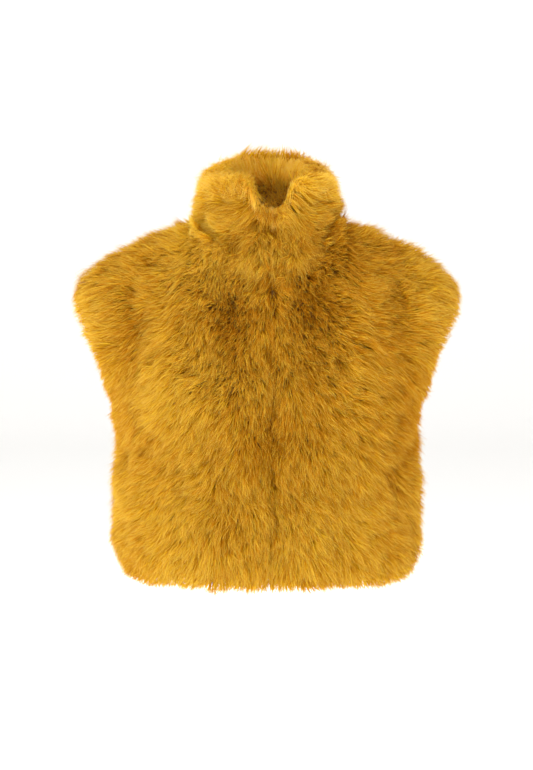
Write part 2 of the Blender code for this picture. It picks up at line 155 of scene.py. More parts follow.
def finer(grid: Array, times: int) -> Array:
    """The same surface with more points: smooth curves through each row and column.

    Args:
        grid: rows and columns of values, (rows, columns, n).
        times: how many new steps each old one is cut into.

    Returns:
        The finer grid, which passes through all the old points.
    """
    for axis in (0, 1):
        lines = np.moveaxis(grid, axis, 0)
        ends = [2 * lines[:1] - lines[1:2], lines, 2 * lines[-1:] - lines[-2:-1]]
        p = np.concatenate(ends)
        steps = []
        for k in range(times):
            t = k / times
            a = -0.5 * t + t * t - 0.5 * t**3
            b = 1 - 2.5 * t * t + 1.5 * t**3
            c = 0.5 * t + 2 * t * t - 1.5 * t**3
            d = -0.5 * t * t + 0.5 * t**3
            steps.append(a * p[:-3] + b * p[1:-2] + c * p[2:-1] + d * p[3:])
        woven = np.stack(steps, axis=1).reshape(-1, *lines.shape[1:])
        grid = np.moveaxis(np.concatenate([woven, lines[-1:]]), 0, axis)
    return grid


def run_lengths(grid: Array) -> Array:
    """How far each point of a grid (its first three values) is from the first, along its column."""
    steps = np.linalg.norm(np.diff(grid[..., :3], axis=0), axis=-1)
    return np.concatenate([np.zeros((1, steps.shape[1])), np.cumsum(steps, axis=0)])


def evened(grid: Array) -> Array:
    """The same columns of values, with their points equally far apart along each."""
    distance, last = run_lengths(grid), len(grid) - 1
    made = np.empty_like(grid)
    for column in range(grid.shape[1]):
        even = np.linspace(0, distance[-1, column], last + 1)
        place = np.interp(even, distance[:, column], np.arange(last + 1))
        low = np.minimum(place.astype(int), last - 1)
        made[:, column] = mixed(grid[low, column], grid[low + 1, column], (place - low)[:, None])
    return made


def read_grid(grid: Array, rows: Array, columns: Array) -> Array:
    """Values of a grid between its points, carried on in a straight line past its borders.

    Args:
        grid: rows and columns of values, (rows, columns, n).
        rows: places along the rows, in steps of the grid.
        columns: places along the columns.

    Returns:
        The values, (..., n).
    """
    r = np.clip(rows.astype(int), 0, len(grid) - 2)
    c = np.clip(columns.astype(int), 0, len(grid[0]) - 2)
    up, along = (rows - r)[..., None], (columns - c)[..., None]
    low = mixed(grid[r, c], grid[r, c + 1], along)
    high = mixed(grid[r + 1, c], grid[r + 1, c + 1], along)
    return mixed(low, high, up)


# ---------------------------------------------------------------- the cut and how it is worn


@dataclass(frozen=True)
class Fold:
    """A soft trough (a plus depth) or ridge (a minus one), along a line of the front or back."""

    face: Face
    start: tuple[float, float]
    end: tuple[float, float]
    depth: float
    width: float


@dataclass
class Wall:
    """One panel from the back of its cloth to the tips of its pile.

    Attributes:
        name: the CAD node that it stands for.
        inside: points of the cloth's back, (rows, columns, 3).
        tips: where the pile reaches from each of them.
        outward: which way is out of the cloth at each.
        free_way: which way the pile hangs off the nearest free edge, and how far that is.
        before: the next panel's inside, tips and outward under the first row, on which pile falls.
        after: the same past the last row.
    """

    name: str
    inside: Array
    tips: Array
    outward: Array
    free_way: Array
    before: Array | None = None
    after: Array | None = None


@dataclass(frozen=True)
class VestCut:
    """Sizes of the worn vest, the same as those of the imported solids."""

    # how the pile stands, and turns round free edges
    pile: float = 0.029
    facing_pile: float = 0.033
    overhang: float = 0.022
    edge_reach: float = 0.034
    edge_blend: float = 0.018
    edge_turn: float = 1.15
    neck_reach: float = 0.044
    seam_gap: float = 0.0003

    # the body below the chest line
    hem_z: float = -0.488
    underarm_z: float = -0.296
    chest_z: float = -0.168
    chest_sag: float = 0.008
    sag_power: float = 2.5
    squareness: float = 2.5
    side_seam_deg: float = 85.0
    opening_x: float = 0.008

    # armholes and shoulders
    armhole_x: float = 0.235
    armhole_front_y: float = -0.070
    armhole_back_y: float = 0.074
    armhole_flare: float = 0.75
    tip: tuple[float, float, float] = (0.274, 0.002, -0.076)
    shoulder_crown: float = 0.011
    shoulder_spacing: float = 0.94

    # the neck seam
    neck_half_width: float = 0.098
    neck_front_y: float = -0.094
    neck_back_y: float = 0.084
    neck_side_z: float = 0.010
    neck_front_drop: float = 0.036
    neck_back_rise: float = 0.014

    # the collar
    rim_half_width: float = 0.076
    rim_front_y: float = -0.079
    rim_back_y: float = 0.088
    rim_side_z: float = 0.086
    rim_back_z: float = 0.108
    rim_dip: float = 0.042
    rim_dip_width: float = 0.026
    rim_squareness: float = 2.3
    rim_back_rise: float = 0.7
    collar_flare: float = 0.62
    roll_front: float = 0.013
    roll_back: float = 0.025
    facing_overhang: float = 0.008
    collar_spacing: float = 1.35

    # how the surfaces run between these lines
    neck_slope: float = 2.0
    easing_passes: int = 8
    fold_handover: float = 0.09
    edge_crowding: float = 0.045

    # rows and columns of the grids, the same as the solids'
    neck_columns: int = 9
    shoulder_columns: int = 11
    side_rows: int = 9
    armhole_rows: int = 7
    over_shoulder_rows: int = 8
    collar_rows: int = 9

    # where the fur goes on past its solid's wall, or stands fuller than it
    neck_overlap: int = 4  # rows of the collar's spacing that its fur falls over the body
    rows_under_neck: int = 9  # rows of the body that are looked at for them
    rim_overlap: int = 5  # rows of the collar that the facing's fur falls over
    neck_fluff: float = 0.2
    rim_fullness: float = 3.0

    # height, half width, front depth, back depth
    levels: tuple[tuple[float, float, float, float], ...] = (
        (-0.488, 0.205, 0.127, 0.116),
        (-0.430, 0.208, 0.130, 0.118),
        (-0.360, 0.208, 0.132, 0.118),
        (-0.296, 0.205, 0.136, 0.117),
        (-0.230, 0.215, 0.139, 0.118),
        (-0.160, 0.232, 0.130, 0.116),
    )
    folds: tuple[Fold, ...] = (
        Fold(Face.FRONT, (-0.176, -0.075), (-0.196, -0.215), 0.0075, 0.034),
        Fold(Face.FRONT, (-0.196, -0.215), (-0.182, -0.460), 0.0030, 0.030),
        Fold(Face.FRONT, (0.180, -0.070), (0.194, -0.250), 0.0070, 0.034),
        Fold(Face.FRONT, (0.194, -0.250), (0.194, -0.480), 0.0050, 0.032),
        Fold(Face.FRONT, (-0.055, -0.085), (-0.060, -0.170), 0.0070, 0.045),
        Fold(Face.FRONT, (0.065, -0.080), (0.070, -0.165), 0.0070, 0.045),
        Fold(Face.FRONT, (0.008, -0.180), (0.010, -0.470), 0.0040, 0.026),
        Fold(Face.FRONT, (-0.135, -0.230), (-0.165, -0.440), -0.0050, 0.045),
        Fold(Face.FRONT, (0.120, -0.190), (0.150, -0.400), -0.0050, 0.045),
        Fold(Face.BACK, (-0.176, -0.080), (-0.192, -0.240), 0.0065, 0.035),
        Fold(Face.BACK, (0.180, -0.078), (0.190, -0.255), 0.0070, 0.035),
        Fold(Face.BACK, (-0.030, -0.150), (-0.012, -0.440), 0.0045, 0.036),
        Fold(Face.BACK, (0.095, -0.210), (0.120, -0.450), -0.0045, 0.045),
        Fold(Face.BACK, (-0.120, -0.200), (-0.140, -0.420), -0.0050, 0.045),
    )

    @property
    def columns(self) -> int:
        """Steps of a half panel from its centre to its side."""
        return self.neck_columns + self.shoulder_columns

    @property
    def rows(self) -> int:
        """Steps of a half panel from its hem to its top."""
        return self.side_rows + self.armhole_rows + self.over_shoulder_rows

    def level_at(self, height: float) -> Array:
        """The half width and depths at a height, on smooth curves through the levels."""
        table = np.array(self.levels)
        last = len(table) - 2
        i = next((i for i in range(last) if height < table[i + 1, 0]), last)
        low, high = table[i], table[i + 1]
        before, after = table[max(i - 1, 0)], table[min(i + 2, last + 1)]
        t = min(max((height - low[0]) / (high[0] - low[0]), 0.0), 1.0)
        slope_in, slope_out = (high - before) / 2, (after - low) / 2
        cubic = (2 * low - 2 * high + slope_in + slope_out) * t**3
        square = (3 * high - 3 * low - 2 * slope_in - slope_out) * t * t
        return (cubic + square + slope_in * t + low)[1:]

    def side_seam_point(self, height: float) -> Array:
        """Where the side seam crosses a height, on the wearer's left."""
        half_width, front_depth, _ = self.level_at(height)
        angle, power = math.radians(self.side_seam_deg), 2 / self.squareness
        x, y = half_width * math.sin(angle) ** power, -front_depth * math.cos(angle) ** power
        return np.array((x, y, height))

    def armhole_point(self, face: Face, share: float) -> Array:
        """A point of the lower armhole edge, from the underarm (0) to the chest line (1)."""
        start = self.side_seam_point(self.underarm_z)
        turn = math.radians(90 * share)
        up = (share + 1 - math.cos(turn)) / 2
        widest_y = self.armhole_front_y if face is Face.FRONT else self.armhole_back_y
        x = mixed(start[0], self.armhole_x, up**self.armhole_flare)
        z = mixed(start[2], self.chest_z - self.chest_sag, up)
        return np.array((x, mixed(start[1], widest_y, math.sin(turn)), z))

    def line_round_body(self, face: Face, end: Array, centre_z: float, depths: Array) -> Array:
        """One line round the body, from the centre to its end at the seam or armhole.

        Args:
            face: front or back.
            end: the line's last point.
            centre_z: its height at the centre.
            depths: the body's depth in front and behind.

        Returns:
            Its points, one for each column.
        """
        shares = self.column_shares()
        power = self.squareness / 2
        depth = depths[0] if end[1] < 0 else depths[1]
        end_angle = math.acos(float(signed_power(-end[1] / depth, power)))
        half_width = end[0] / math.sin(end_angle) ** (1 / power)
        angle = mixed(0.0 if face is Face.FRONT else math.pi, end_angle, shares)
        cosine = np.cos(angle)
        x = half_width * np.abs(np.sin(angle)) ** (1 / power)
        y = -signed_power(cosine, 1 / power) * np.where(cosine > 0, depths[0], depths[1])
        return np.stack((x, y, mixed(centre_z, end[2], shares**self.sag_power)), axis=-1)

    def column_shares(self) -> Array:
        """Columns are even over the body and close up towards the armhole."""
        share = np.arange(self.columns + 1) / self.columns
        return share + self.edge_crowding * np.sin(math.pi * share) * share

    def neck_seam_point(self, turn_deg: float) -> Array:
        """A point of the neck seam, 0 degrees at the centre front and 180 at the centre back."""
        sine, cosine = math.sin(math.radians(turn_deg)), math.cos(math.radians(turn_deg))
        y = cosine * (self.neck_front_y if cosine > 0 else -self.neck_back_y)
        rise = -self.neck_front_drop if cosine > 0 else self.neck_back_rise
        return np.array((self.neck_half_width * sine, y, self.neck_side_z + rise * cosine**2))

    def top_line(self, face: Face) -> Array:
        """The upper ends of the columns: on the neck seam, and then on the shoulder seam."""
        points = []
        for column in range(self.columns + 1):
            if column <= self.neck_columns:
                turn = 90 * column / self.neck_columns
                points.append(self.neck_seam_point(turn if face is Face.FRONT else 180 - turn))
                continue
            share = (column - self.neck_columns) / self.shoulder_columns
            along = share**self.shoulder_spacing
            point = mixed(self.neck_seam_point(90), np.array(self.tip), along)
            point[2] += self.shoulder_crown * math.sin(math.pi * share)
            points.append(point)
        return np.array(points)

    def plain_half(self, face: Face) -> Array:
        """The cloth's back on the wearer's left half, before its folds."""
        lines = []
        for row in range(self.side_rows + 1):
            up = (row / self.side_rows + (1 - math.cos(math.pi * row / self.side_rows)) / 2) / 2
            end = self.side_seam_point(mixed(self.hem_z, self.underarm_z, up))
            lines.append(self.line_round_body(face, end, end[2], self.level_at(end[2])[1:]))
        for row in range(1, self.armhole_rows + 1):
            up = row / self.armhole_rows
            centre_z = mixed(self.underarm_z, self.chest_z, up)
            end = self.armhole_point(face, up)
            lines.append(self.line_round_body(face, end, centre_z, self.level_at(centre_z)[1:]))
        chest, top = lines[-1], self.top_line(face)
        towards_shoulder = np.minimum(np.arange(self.columns + 1) / self.neck_columns, 1.0) ** 2
        for row in range(1, self.over_shoulder_rows + 1):
            up = math.sin(math.radians(90) * row / self.over_shoulder_rows)
            line = mixed(chest, top, up)
            lean = mixed(up**self.neck_slope, 1 - math.sqrt(1 - up * up), towards_shoulder)
            line[:, 1] = mixed(chest[:, 1], top[:, 1], lean)
            lines.append(line)
        return self.eased_across(np.array(lines))

    def eased_across(self, grid: Array) -> Array:
        """The same rows, with the corner of the neck and shoulder seams eased out below it."""
        for _ in range(self.easing_passes):
            for row in range(self.side_rows + self.armhole_rows + 1, self.rows):
                below = row - self.side_rows - self.armhole_rows
                weight = 0.5 * math.cos(math.radians(90) * below / self.over_shoulder_rows) ** 3
                line = grid[row]
                middle = (line[:-2] + line[2:]) / 2
                grid[row, 1:-1] = mixed(line[1:-1], middle, weight)
        return grid

    def fold_depth(self, points: Array) -> Array:
        """How far the folds press the cloth in at each point. The front's ease off at the sides."""
        front_share = smooth(0.5 - points[..., 1] / self.fold_handover)
        total = np.zeros(points.shape[:-1])
        for fold in self.folds:
            start, along = np.array(fold.start), np.subtract(fold.end, fold.start)
            to_point = points[..., (0, 2)] - start
            share = np.clip(to_point @ along / (along @ along), 0.0, 1.0)[..., None]
            off_line = np.linalg.norm(to_point - along * share, axis=-1)
            weight = front_share if fold.face is Face.FRONT else 1 - front_share
            total += weight * fold.depth * np.exp(-((off_line / fold.width) ** 2))
        return total

    def shared_normals(self, halves: Halves) -> Halves:
        """Normals of the four half panels, the same for both panels along each seam."""
        normals = {key: faced_out(grid_normals(grid), grid) for key, grid in halves.items()}
        for side in Side:
            front, back = normals[Face.FRONT, side], normals[Face.BACK, side]
            seams = (np.s_[: self.side_rows + 1, -1], np.s_[-1, self.neck_columns :])
            for seam in seams:
                both = unit(front[seam] + back[seam])
                front[seam], back[seam] = both, both
            for half in (front, back):
                half[:, 0, 0] = 0.0
                half[:, 0] = unit(half[:, 0])
        return normals

    def body_halves(self) -> Halves:
        """The cloth's back as four half panels, with their folds: rows from the hem up."""
        halves = {}
        from_opening = np.arange(self.columns + 1) / self.neck_columns
        shift = self.opening_x * np.maximum(0.0, 1 - from_opening) ** 2
        for face in Face:
            for side in Side:
                grid = self.plain_half(face)
                grid[..., 0] *= side.value
                if face is Face.FRONT:
                    grid[..., 0] += shift
                halves[face, side] = grid
        normals = self.shared_normals(halves)
        for key, grid in halves.items():
            pressed = self.fold_depth(grid)
            pressed[-1, : self.neck_columns + 1] = 0.0
            grid -= normals[key] * pressed[..., None]
        for face in Face:
            halves[face, Side.RIGHT][:, 0] = halves[face, Side.LEFT][:, 0]
        return halves

    def free_edges(self, halves: Halves, normals: Halves) -> tuple[Array, ...]:
        """Each stretch of the hem and armholes: its two ends, and the way fur hangs off at each."""
        stretches = []
        up = slice(self.side_rows, self.rows + 1)
        for side in Side:
            points, out = (
                np.concatenate([of[Face.FRONT, side][up, -1], of[Face.BACK, side][up, -1][-2:0:-1]])
                for of in (halves, normals)
            )
            tangents = np.roll(points, -1, axis=0) - np.roll(points, 1, axis=0)
            ways = unit(np.cross(tangents, out))
            ways *= np.sign(dot(ways, points.mean(0) - points))
            stretches.append((points, np.roll(points, -1, axis=0), ways, np.roll(ways, -1, axis=0)))
        for grid in halves.values():
            ways = unit(grid[0] - grid[1])
            stretches.append((grid[0, :-1], grid[0, 1:], ways[:-1], ways[1:]))
        return tuple(np.concatenate(parts) for parts in zip(*stretches))

    def nearest_edge(self, points: Array, edges: tuple[Array, ...]) -> tuple[Array, Array]:
        """How far each point is from a free edge, and the way that the fur hangs off there."""
        start, end, start_way, end_way = edges
        along = end - start
        to_point = points[..., None, :] - start
        share = np.clip(dot(to_point, along) / dot(along, along), 0.0, 1.0)
        distance = np.linalg.norm(to_point - along * share, axis=-1)
        nearest = distance.min(-1)
        weight = np.exp((nearest[..., None] - distance) / self.edge_blend)[..., None]
        return nearest, unit((mixed(start_way, end_way, share) * weight).sum(-2))

    def turned(self, distance: Array) -> Array:
        """How far the fur has turned round a free edge at a distance from it: 1 at the edge."""
        return np.maximum(0.0, 1 - distance / self.edge_reach) ** self.edge_turn

    def rim_point(self, turn_deg: float) -> Array:
        """A point of the collar's rim, where the collar folds over into its facing."""
        sine, cosine = math.sin(math.radians(turn_deg)), math.cos(math.radians(turn_deg))
        middle, power = (self.rim_front_y + self.rim_back_y) / 2, 2 / self.rim_squareness
        x = self.rim_half_width * signed_power(sine, power)
        if cosine > 0:
            z = self.rim_side_z - self.rim_dip * math.exp(-((x / self.rim_dip_width) ** 4))
        else:
            z = mixed(self.rim_side_z, self.rim_back_z, (-cosine) ** self.rim_back_rise)
        y = middle - (self.rim_back_y - middle) * signed_power(cosine, power)
        return np.array((x + self.opening_x * max(cosine, 0.0) ** 2, y, z))

    def walls(self) -> dict[str, Wall]:
        """Every panel of the vest, from its cloth to the tips of its pile."""
        halves = self.body_halves()
        normals = self.shared_normals(halves)
        edges = self.free_edges(halves, normals)
        ring = self.neck_ring({key: grid[-1] for key, grid in halves.items()})
        ring_normals = self.neck_ring({key: grid[-1] for key, grid in normals.items()})
        collar = self.collar_grid(ring)
        collar_out = faced_out(grid_normals(collar), collar)
        for end in (0, -1):
            collar_out[:, end, 0] = 0.0
            collar_out[:, end] = unit(collar_out[:, end])
        both = ring_normals + collar_out[0]
        mitres = both * (self.pile / (1 + dot(ring_normals, collar_out[0])))
        mitres = mitres * (1 + self.neck_fluff)

        made = {}
        for key, grid in halves.items():
            distance, way = self.nearest_edge(grid, edges)
            angle = np.radians(90) * self.turned(distance)[..., None]
            offset = normals[key] * self.pile * np.cos(angle) + way * self.overhang * np.sin(angle)
            to_neck = np.linalg.norm(grid[..., None, :] - ring, axis=-1)
            squeeze = np.maximum(0.0, 1 - to_neck.min(-1) / self.neck_reach)[..., None]
            offset = mixed(offset, mitres[to_neck.argmin(-1)], squeeze)
            free = np.concatenate([way, distance[..., None]], axis=-1)
            made[key] = (grid, grid + offset, normals[key], free)

        walls = {}
        for side, name in ((Side.LEFT, "front_left"), (Side.RIGHT, "front_right")):
            inside, tips, out, free = (part.copy() for part in made[Face.FRONT, side])
            for points in (inside, tips):
                points[:, 0, 0] = self.opening_x + side.value * self.seam_gap / 2
            walls[name] = Wall(name, inside, tips, out, free)
        right, left = made[Face.BACK, Side.RIGHT], made[Face.BACK, Side.LEFT]
        across = [np.concatenate([r[:, :0:-1], l], axis=1) for r, l in zip(right, left)]
        walls["back"] = Wall("back", *across)
        walls.update(self.collar_walls(collar, collar_out, mitres))
        spacing = np.linalg.norm(collar[1] - collar[0], axis=-1)
        walls["collar"].before = self.under_neck(made, spacing)
        return walls

    def under_neck(self, panels: dict, spacing: Array) -> Array:
        """The body's inside, tips and normals under the neck seam, in rows spaced as the collar's.

        Args:
            panels: the four half panels.
            spacing: how far apart the collar's first rows are in each column.

        Returns:
            All three side by side, their lowest row first, (rows, columns, 9).
        """
        below = range(-1, -1 - self.rows_under_neck, -1)
        parts = [
            [self.neck_ring({key: of[part][row] for key, of in panels.items()}) for row in below]
            for part in range(3)
        ]
        grid = np.concatenate(parts, axis=-1)
        distance = run_lengths(grid)
        wanted = np.arange(self.neck_overlap, 0, -1)[:, None] * spacing
        under = np.empty((*wanted.shape, grid.shape[-1]))
        for column, value in np.ndindex(under.shape[1:]):
            line = np.interp(wanted[:, column], distance[:, column], grid[:, column, value])
            under[:, column, value] = line
        return under

    def neck_ring(self, halves: dict) -> Array:
        """One row of the half panels round the neck: from the centre front by +X and back by -X."""
        last = self.neck_columns + 1
        quarters = (
            halves[Face.FRONT, Side.LEFT][:last],
            halves[Face.BACK, Side.LEFT][:last][::-1][1:],
            halves[Face.BACK, Side.RIGHT][:last][1:],
            halves[Face.FRONT, Side.RIGHT][:last][::-1][1:],
        )
        return np.concatenate(quarters)

    def collar_grid(self, ring: Array) -> Array:
        """The collar's cloth: rows from the neck seam up to the rim, columns round the ring."""
        count = len(ring) - 1
        rim = np.array([self.rim_point(360 * column / count) for column in range(count + 1)])
        lines = []
        for row in range(self.collar_rows + 1):
            up = 1 - (1 - row / self.collar_rows) ** self.collar_spacing
            line = mixed(ring, rim, up**self.collar_flare)
            line[:, 2] = mixed(ring[:, 2], rim[:, 2], up)
            lines.append(line)
        return np.array(lines)

    def collar_walls(self, grid: Array, out: Array, mitres: Array) -> dict[str, Wall]:
        """The collar and its facing, back to back, with their fur rolled over the rim."""
        turn = np.linspace(0, 2 * math.pi, len(grid[0]))
        roll = mixed(self.roll_back, self.roll_front, (1 + np.cos(turn)) / 2)[:, None]
        up = np.array((0.0, 0.0, 1.0))
        to_rim = np.linalg.norm(grid[-1] - grid, axis=-1)
        to_base = np.linalg.norm(grid[0] - grid, axis=-1)
        walls = {}
        angle = np.radians(90) * self.turned(to_rim)[..., None] ** self.rim_fullness
        for name, way, pile in (("collar", 1, self.pile), ("collar_facing", -1, self.facing_pile)):
            normal = out * way
            offset = normal * pile * np.cos(angle) + up * roll * np.sin(angle)
            if way > 0:
                squeeze = np.maximum(0.0, 1 - to_base / self.neck_reach)[..., None]
                offset = mixed(offset, mitres, squeeze)
            else:
                offset = offset - up * self.facing_overhang * self.turned(to_base)[..., None]
            inside = grid + normal * self.seam_gap / 2
            free = np.concatenate([np.broadcast_to(up, grid.shape), to_rim[..., None]], axis=-1)
            walls[name] = Wall(name, inside, inside + offset, normal, free)
        outer, over = walls["collar"], slice(-2, -2 - self.rim_overlap, -1)
        parts = [outer.inside[over], outer.tips[over], outer.outward[over]]
        walls["collar_facing"].after = np.concatenate(parts, axis=-1)
        return walls


# ---------------------------------------------------------------- finishes


def add_node(tree: bpy.types.NodeTree, kind: str, settings: dict, links: dict) -> bpy.types.Node:
    """Adds a node with its settings and links.

    Args:
        tree: the material's node tree.
        kind: the node's type name.
        settings: properties by name, and input values by the input's name or number.
        links: the output socket that feeds each input, by the input's name or number.

    Returns:
        The new node.
    """
    node = tree.nodes.new(kind)
    for name, value in settings.items():
        if isinstance(name, str) and hasattr(node, name):
            setattr(node, name, value)
        else:
            node.inputs[name].default_value = value
    for name, output in links.items():
        tree.links.new(output, node.inputs[name])
    return node


def add_ramp(
    tree: bpy.types.NodeTree, stops: Stops, factor: bpy.types.NodeSocket
) -> bpy.types.NodeSocket:
    """Adds a colour ramp, read at the place a socket gives, and returns its colour's socket."""
    node = add_node(tree, "ShaderNodeValToRGB", {}, {0: factor})
    elements = node.color_ramp.elements
    while len(elements) < len(stops):
        elements.new(0.5)
    for element, (place, colour) in zip(elements, stops):
        element.position, element.color = place, linear(colour)
    return node.outputs["Color"]


def new_material(name: str) -> tuple[bpy.types.Material, bpy.types.Node]:
    """A new material that uses nodes, and its shader."""
    made = bpy.data.materials.new(name)
    made.use_nodes = True
    return made, made.node_tree.nodes["Principled BSDF"]


def set_inputs(node: bpy.types.Node, values: dict[str, float | tuple[float, ...]]) -> None:
    """Sets a node's inputs by their names."""
    for name, value in values.items():
        node.inputs[name].default_value = value


@dataclass(frozen=True)
class PileFinish:
    """Acrylic fur pile: fine dyed strands that let a little light through, so the edges glow.

    Attributes:
        name: the material's name.
        dark: colours from root to tip of the darkest strands, darker at the root as painted shade
            deep in the pile.
        light: the same for the lightest ones.
        glow: the share of the light that comes through them.
    """

    name: str
    dark: Stops
    light: Stops
    roughness: float = 0.7
    specular: float = 0.12
    sheen: float = 0.22
    sheen_roughness: float = 0.4
    sheen_tint: str = "ECB030"
    glow: float = 0.42

    def material(self) -> bpy.types.Material:
        """Makes the material, which reads a strand's tone (u) and place along it (v) in its map."""
        made, shader = new_material(self.name)
        tree = made.node_tree
        strand_map = add_node(tree, "ShaderNodeUVMap", {"uv_map": MAP_NAME}, {})
        split = add_node(tree, "ShaderNodeSeparateXYZ", {}, {0: strand_map.outputs["UV"]})
        tone, along = split.outputs["X"], split.outputs["Y"]
        # Both ramps darken towards the root: painted shade deep in the pile.
        dark, light = (add_ramp(tree, stops, along) for stops in (self.dark, self.light))
        mix = add_node(tree, "ShaderNodeMix", {"data_type": "RGBA"}, {0: tone, 6: dark, 7: light})
        tree.links.new(mix.outputs[2], shader.inputs["Base Color"])
        values = {"Roughness": self.roughness, "Specular IOR Level": self.specular}
        values |= {"Sheen Weight": self.sheen, "Sheen Roughness": self.sheen_roughness}
        set_inputs(shader, values | {"Sheen Tint": linear(self.sheen_tint)})
        glow = add_node(tree, "ShaderNodeBsdfTranslucent", {}, {"Color": mix.outputs[2]})
        parts = {1: shader.outputs["BSDF"], 2: glow.outputs["BSDF"]}
        both = add_node(tree, "ShaderNodeMixShader", {0: self.glow}, parts)
        tree.links.new(both.outputs["Shader"], tree.nodes["Material Output"].inputs["Surface"])
        return made


@dataclass(frozen=True)
class KnitFinish:
    """Knitted polyester backing: matt, with fine ribs of loops about a millimetre apart.

    Attributes:
        name: the material's name.
        thread: the colour of the loops.
        gap: the colour between them.
        wale_mm: how far apart the ribs are.
        course_share: how close the loops along a rib are, as a share of how close the ribs are.
        wave_distortion: how far the loops push the ribs out of line.
        blotch_scale: how many blotches there are to a metre.
        ramp_places: where the ramp from gap to thread starts and ends.
    """

    name: str
    thread: str
    gap: str
    wale_mm: float = 1.0058
    course_share: float = 0.7
    wave_distortion: float = 1.2
    blotch_scale: float = 22.0
    ramp_places: tuple[float, float] = (0.05, 0.45)
    bump_strength: float = 0.5
    bump_depth: float = 0.0006
    roughness: float = 0.9
    sheen: float = 0.15

    def material(self) -> bpy.types.Material:
        """Makes the material, whose loops follow the panel's own map in metres."""
        made, shader = new_material(self.name)
        tree = made.node_tree
        flat = add_node(tree, "ShaderNodeUVMap", {"uv_map": MAP_NAME}, {}).outputs["UV"]
        per_metre = 1000 / self.wale_mm
        scale = (per_metre, per_metre * self.course_share, 1.0)
        place = add_node(tree, "ShaderNodeMapping", {"Scale": scale}, {"Vector": flat})
        wave = {"wave_type": "BANDS", "bands_direction": "X", "Scale": ONE_WAVE}
        wave |= {"Distortion": self.wave_distortion, "Detail": 1.0, "Detail Scale": 1.5}
        along = {"Vector": place.outputs["Vector"]}
        wales = add_node(tree, "ShaderNodeTexWave", wave, along).outputs["Fac"]
        noise = {"Scale": self.blotch_scale, "Detail": 3.0}
        blotch = add_node(tree, "ShaderNodeTexNoise", noise, {"Vector": flat}).outputs["Fac"]
        depth = add_node(tree, "ShaderNodeMath", {"operation": "MULTIPLY"}, {0: wales, 1: blotch})
        stops = tuple(zip(self.ramp_places, (self.gap, self.thread)))
        colour = add_ramp(tree, stops, depth.outputs["Value"])
        settings = {"Strength": self.bump_strength, "Distance": self.bump_depth}
        bump = add_node(tree, "ShaderNodeBump", settings, {"Height": wales})
        tree.links.new(colour, shader.inputs["Base Color"])
        tree.links.new(bump.outputs["Normal"], shader.inputs["Normal"])
        set_inputs(shader, {"Roughness": self.roughness, "Sheen Weight": self.sheen})
        return made


@dataclass(frozen=True)
class MattFinish:
    """Painted studio paper: plain, pale and matt."""

    name: str
    colour: str
    roughness: float = 0.9

    def material(self) -> bpy.types.Material:
        """Makes the material."""
        made, shader = new_material(self.name)
        set_inputs(shader, {"Base Color": linear(self.colour), "Roughness": self.roughness})
        return made


# ---------------------------------------------------------------- cloth


@dataclass(frozen=True)
class Backing:
    """The knitted backing of one panel: a thin shell on the inside of its wall.

    Attributes:
        wall: the panel's wall.
        width: the cut's width, in metres.
        length: the cut's length.
        area: the cut's flat area in square metres; not used.
        hangs_from: what the cloth hangs from or is sewn to; not used.
        thickness: how thick the shell is, in metres.
        steps: how many faces it has along each step of the wall's grid.
    """

    wall: Wall
    width: float
    length: float
    area: float
    hangs_from: tuple[str, ...]
    thickness: float = 0.0016
    steps: int = 2

    def build(self, finish: bpy.types.Material) -> bpy.types.Object:
        """Models the shell from a grid that is bent onto the wall's inside.

        Args:
            finish: the backing's material.

        Returns:
            The finished piece, which stands for the panel's CAD node.
        """
        grid = finer(self.wall.inside, self.steps)
        rows, columns = grid.shape[:2]
        bpy.ops.object.select_all(action="DESELECT")
        bpy.ops.mesh.primitive_grid_add(
            x_subdivisions=columns - 1, y_subdivisions=rows - 1, size=1.0
        )
        piece = bpy.context.object
        piece.name = self.wall.name + "_backing"
        mesh = piece.data
        mesh.name = piece.name
        mesh.vertices.foreach_set("co", grid.reshape(-1).astype(np.float32))
        across, up = np.linspace(0, self.width, columns), np.linspace(0, self.length, rows)
        flat = np.stack(np.meshgrid(across, up), axis=-1).reshape(-1, 2)
        corners = np.empty(len(mesh.loops), np.int32)
        mesh.loops.foreach_get("vertex_index", corners)
        while mesh.uv_layers:
            mesh.uv_layers.remove(mesh.uv_layers[0])
        cloth_map = mesh.uv_layers.new(name=MAP_NAME)
        cloth_map.data.foreach_set("uv", flat[corners].reshape(-1).astype(np.float32))
        face = mesh.polygons[len(mesh.polygons) // 3 + columns // 2]
        row, column = divmod(face.vertices[0], columns)
        if np.array(face.normal) @ finer(self.wall.outward, self.steps)[row, column] < 0:
            mesh.flip_normals()
        solidify = piece.modifiers.new("cloth", "SOLIDIFY")
        solidify.thickness, solidify.offset = self.thickness, 1.0
        bpy.ops.object.modifier_apply(modifier=solidify.name)
        bpy.ops.object.shade_smooth()
        mesh.materials.append(finish)
        return piece

    def declare(self, piece: bpy.types.Object) -> None:
        """Attaches the piece to the root and hides the CAD node that it stands for."""
        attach(piece, "root")
        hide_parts(self.wall.name)


# ---------------------------------------------------------------- pile


@dataclass(frozen=True)
class CombStroke:
    """Which way the pile lies at a place: the place and the way, both in the view's x and z."""

    x: float
    z: float
    dx: float
    dz: float


@dataclass(frozen=True)
class Patch:
    """A place where the pile is painted darker (a minus tone: painted shade) or lighter (painted
    light), lower or prouder, or upright.
    """

    x: float
    z: float
    radius_x: float
    radius_z: float
    tone: float
    height: float = 0.0
    stand: float = 0.0

    def nearness(self, points: Array) -> Array:
        """How strongly each point feels it, 1 at its middle."""
        x, z = (points[:, 0] - self.x) / self.radius_x, (points[:, 2] - self.z) / self.radius_z
        return np.exp(-(x**2 + z**2))


def strokes(*rows: tuple[float, ...]) -> tuple[CombStroke, ...]:
    """Comb strokes from rows of their numbers."""
    return tuple(CombStroke(*row) for row in rows)


def patches(*rows: tuple[float, ...]) -> tuple[Patch, ...]:
    """Patches from rows of their numbers."""
    return tuple(Patch(*row) for row in rows)


